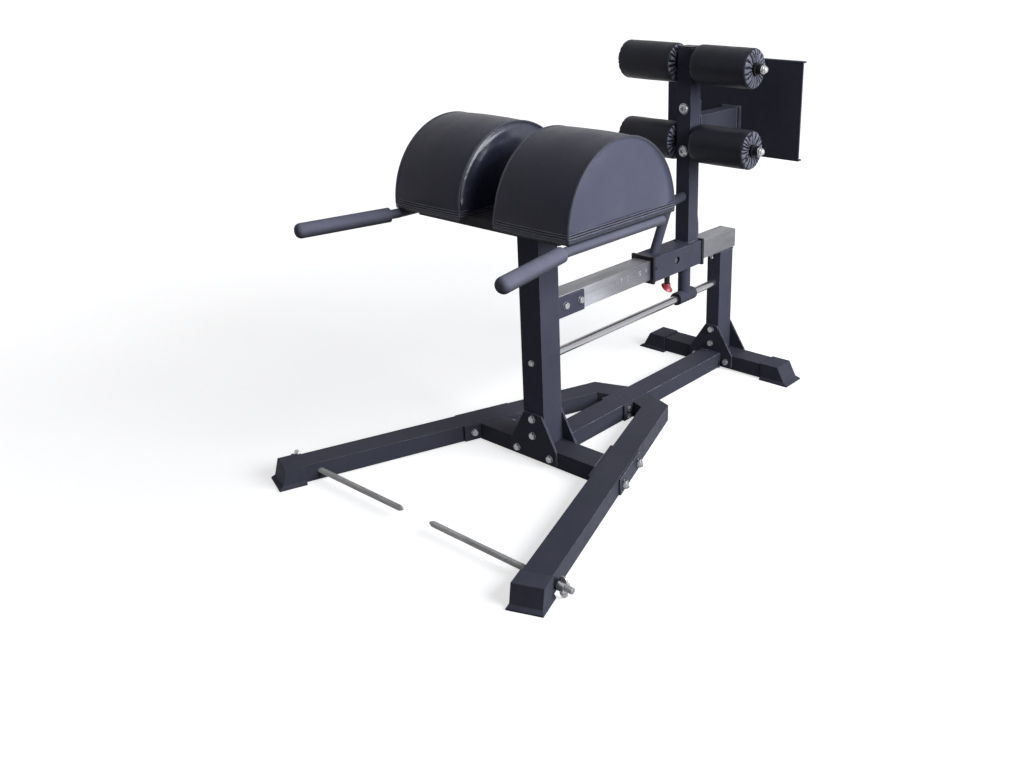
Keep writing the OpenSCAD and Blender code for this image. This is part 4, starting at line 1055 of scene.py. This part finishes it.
def add_floor():
    """A floor that is white to the camera, dark to the light, and keeps the object's soft shadow."""
    mat, nt, shader, at = new_material("floor_white")
    shader.inputs["Base Color"].default_value = (0.11, 0.11, 0.11, 1)
    shader.inputs["Roughness"].default_value = 0.95
    shader.inputs["Specular IOR Level"].default_value = 0.0
    # the floor's own glow is weaker near the object, where the lamps fall, so its shadow shows
    reach = add(nt, "VectorMath", {0: at}, operation="LENGTH").outputs["Value"]
    fade = add(nt, "MapRange", {"Value": reach, "From Min": GLOW_FROM, "From Max": GLOW_TO,
                                "To Min": GLOW_LEAST}).outputs["Result"]
    pale = add(nt, "BsdfDiffuse", {"Color": (0.85, 0.85, 0.85, 1)})
    glow = add(nt, "Emission", {"Color": (1, 1, 1, 1), "Strength": fade})
    white = add(nt, "AddShader", {0: pale.outputs[0], 1: glow.outputs[0]})
    result = add(nt, "MixShader", {"Fac": seen_directly(nt), 1: shader.outputs["BSDF"], 2: white.outputs[0]})
    nt.links.new(result.outputs[0], nt.nodes["Material Output"].inputs["Surface"])
    angles = [2 * math.pi * i / FLOOR_STEPS for i in range(FLOOR_STEPS)]
    me = bpy.data.meshes.new("floor")
    me.from_pydata([(FLOOR_R * math.cos(a), FLOOR_R * math.sin(a), FLOOR_Z) for a in angles], [],
                   [tuple(range(FLOOR_STEPS))])
    me.materials.append(mat)
    floor = bpy.data.objects.new("floor", me)
    bpy.context.collection.objects.link(floor)


def add_world():
    """White to the camera, and a dim cool light on the object."""
    world = bpy.data.worlds.new("studio")
    bpy.context.scene.world = world
    world.use_nodes = True
    nt = world.node_tree
    dim = nt.nodes["Background"]
    dim.inputs["Color"].default_value = (0.9, 0.92, 1, 1)
    dim.inputs["Strength"].default_value = 0.10
    white = add(nt, "Background", {"Color": (1, 1, 1, 1), "Strength": 1.0})
    result = add(nt, "MixShader", {"Fac": seen_directly(nt), 1: dim.outputs[0], 2: white.outputs[0]})
    nt.links.new(result.outputs[0], nt.nodes["World Output"].inputs["Surface"])


LAMP_COLOUR = (0.95, 0.97, 1)


def add_lamp(name, place, target, size, power):
    data = bpy.data.lights.new(name, "AREA")
    data.shape = "RECTANGLE"
    data.size, data.size_y = size
    data.energy = power
    data.color = LAMP_COLOUR
    lamp = bpy.data.objects.new(name, data)
    lamp.location = place
    lamp.rotation_euler = (Vector(target) - Vector(place)).to_track_quat("-Z", "Y").to_euler()
    bpy.context.collection.objects.link(lamp)


add_floor()
add_world()
add_lamp("key", (0.5, -3.6, 2.3), (0, 0, 0.55), (3.0, 2.2), 180)
add_lamp("top", (0.9, 0.6, 3.6), (0, 0, 0.6), (2.2, 1.6), 4)
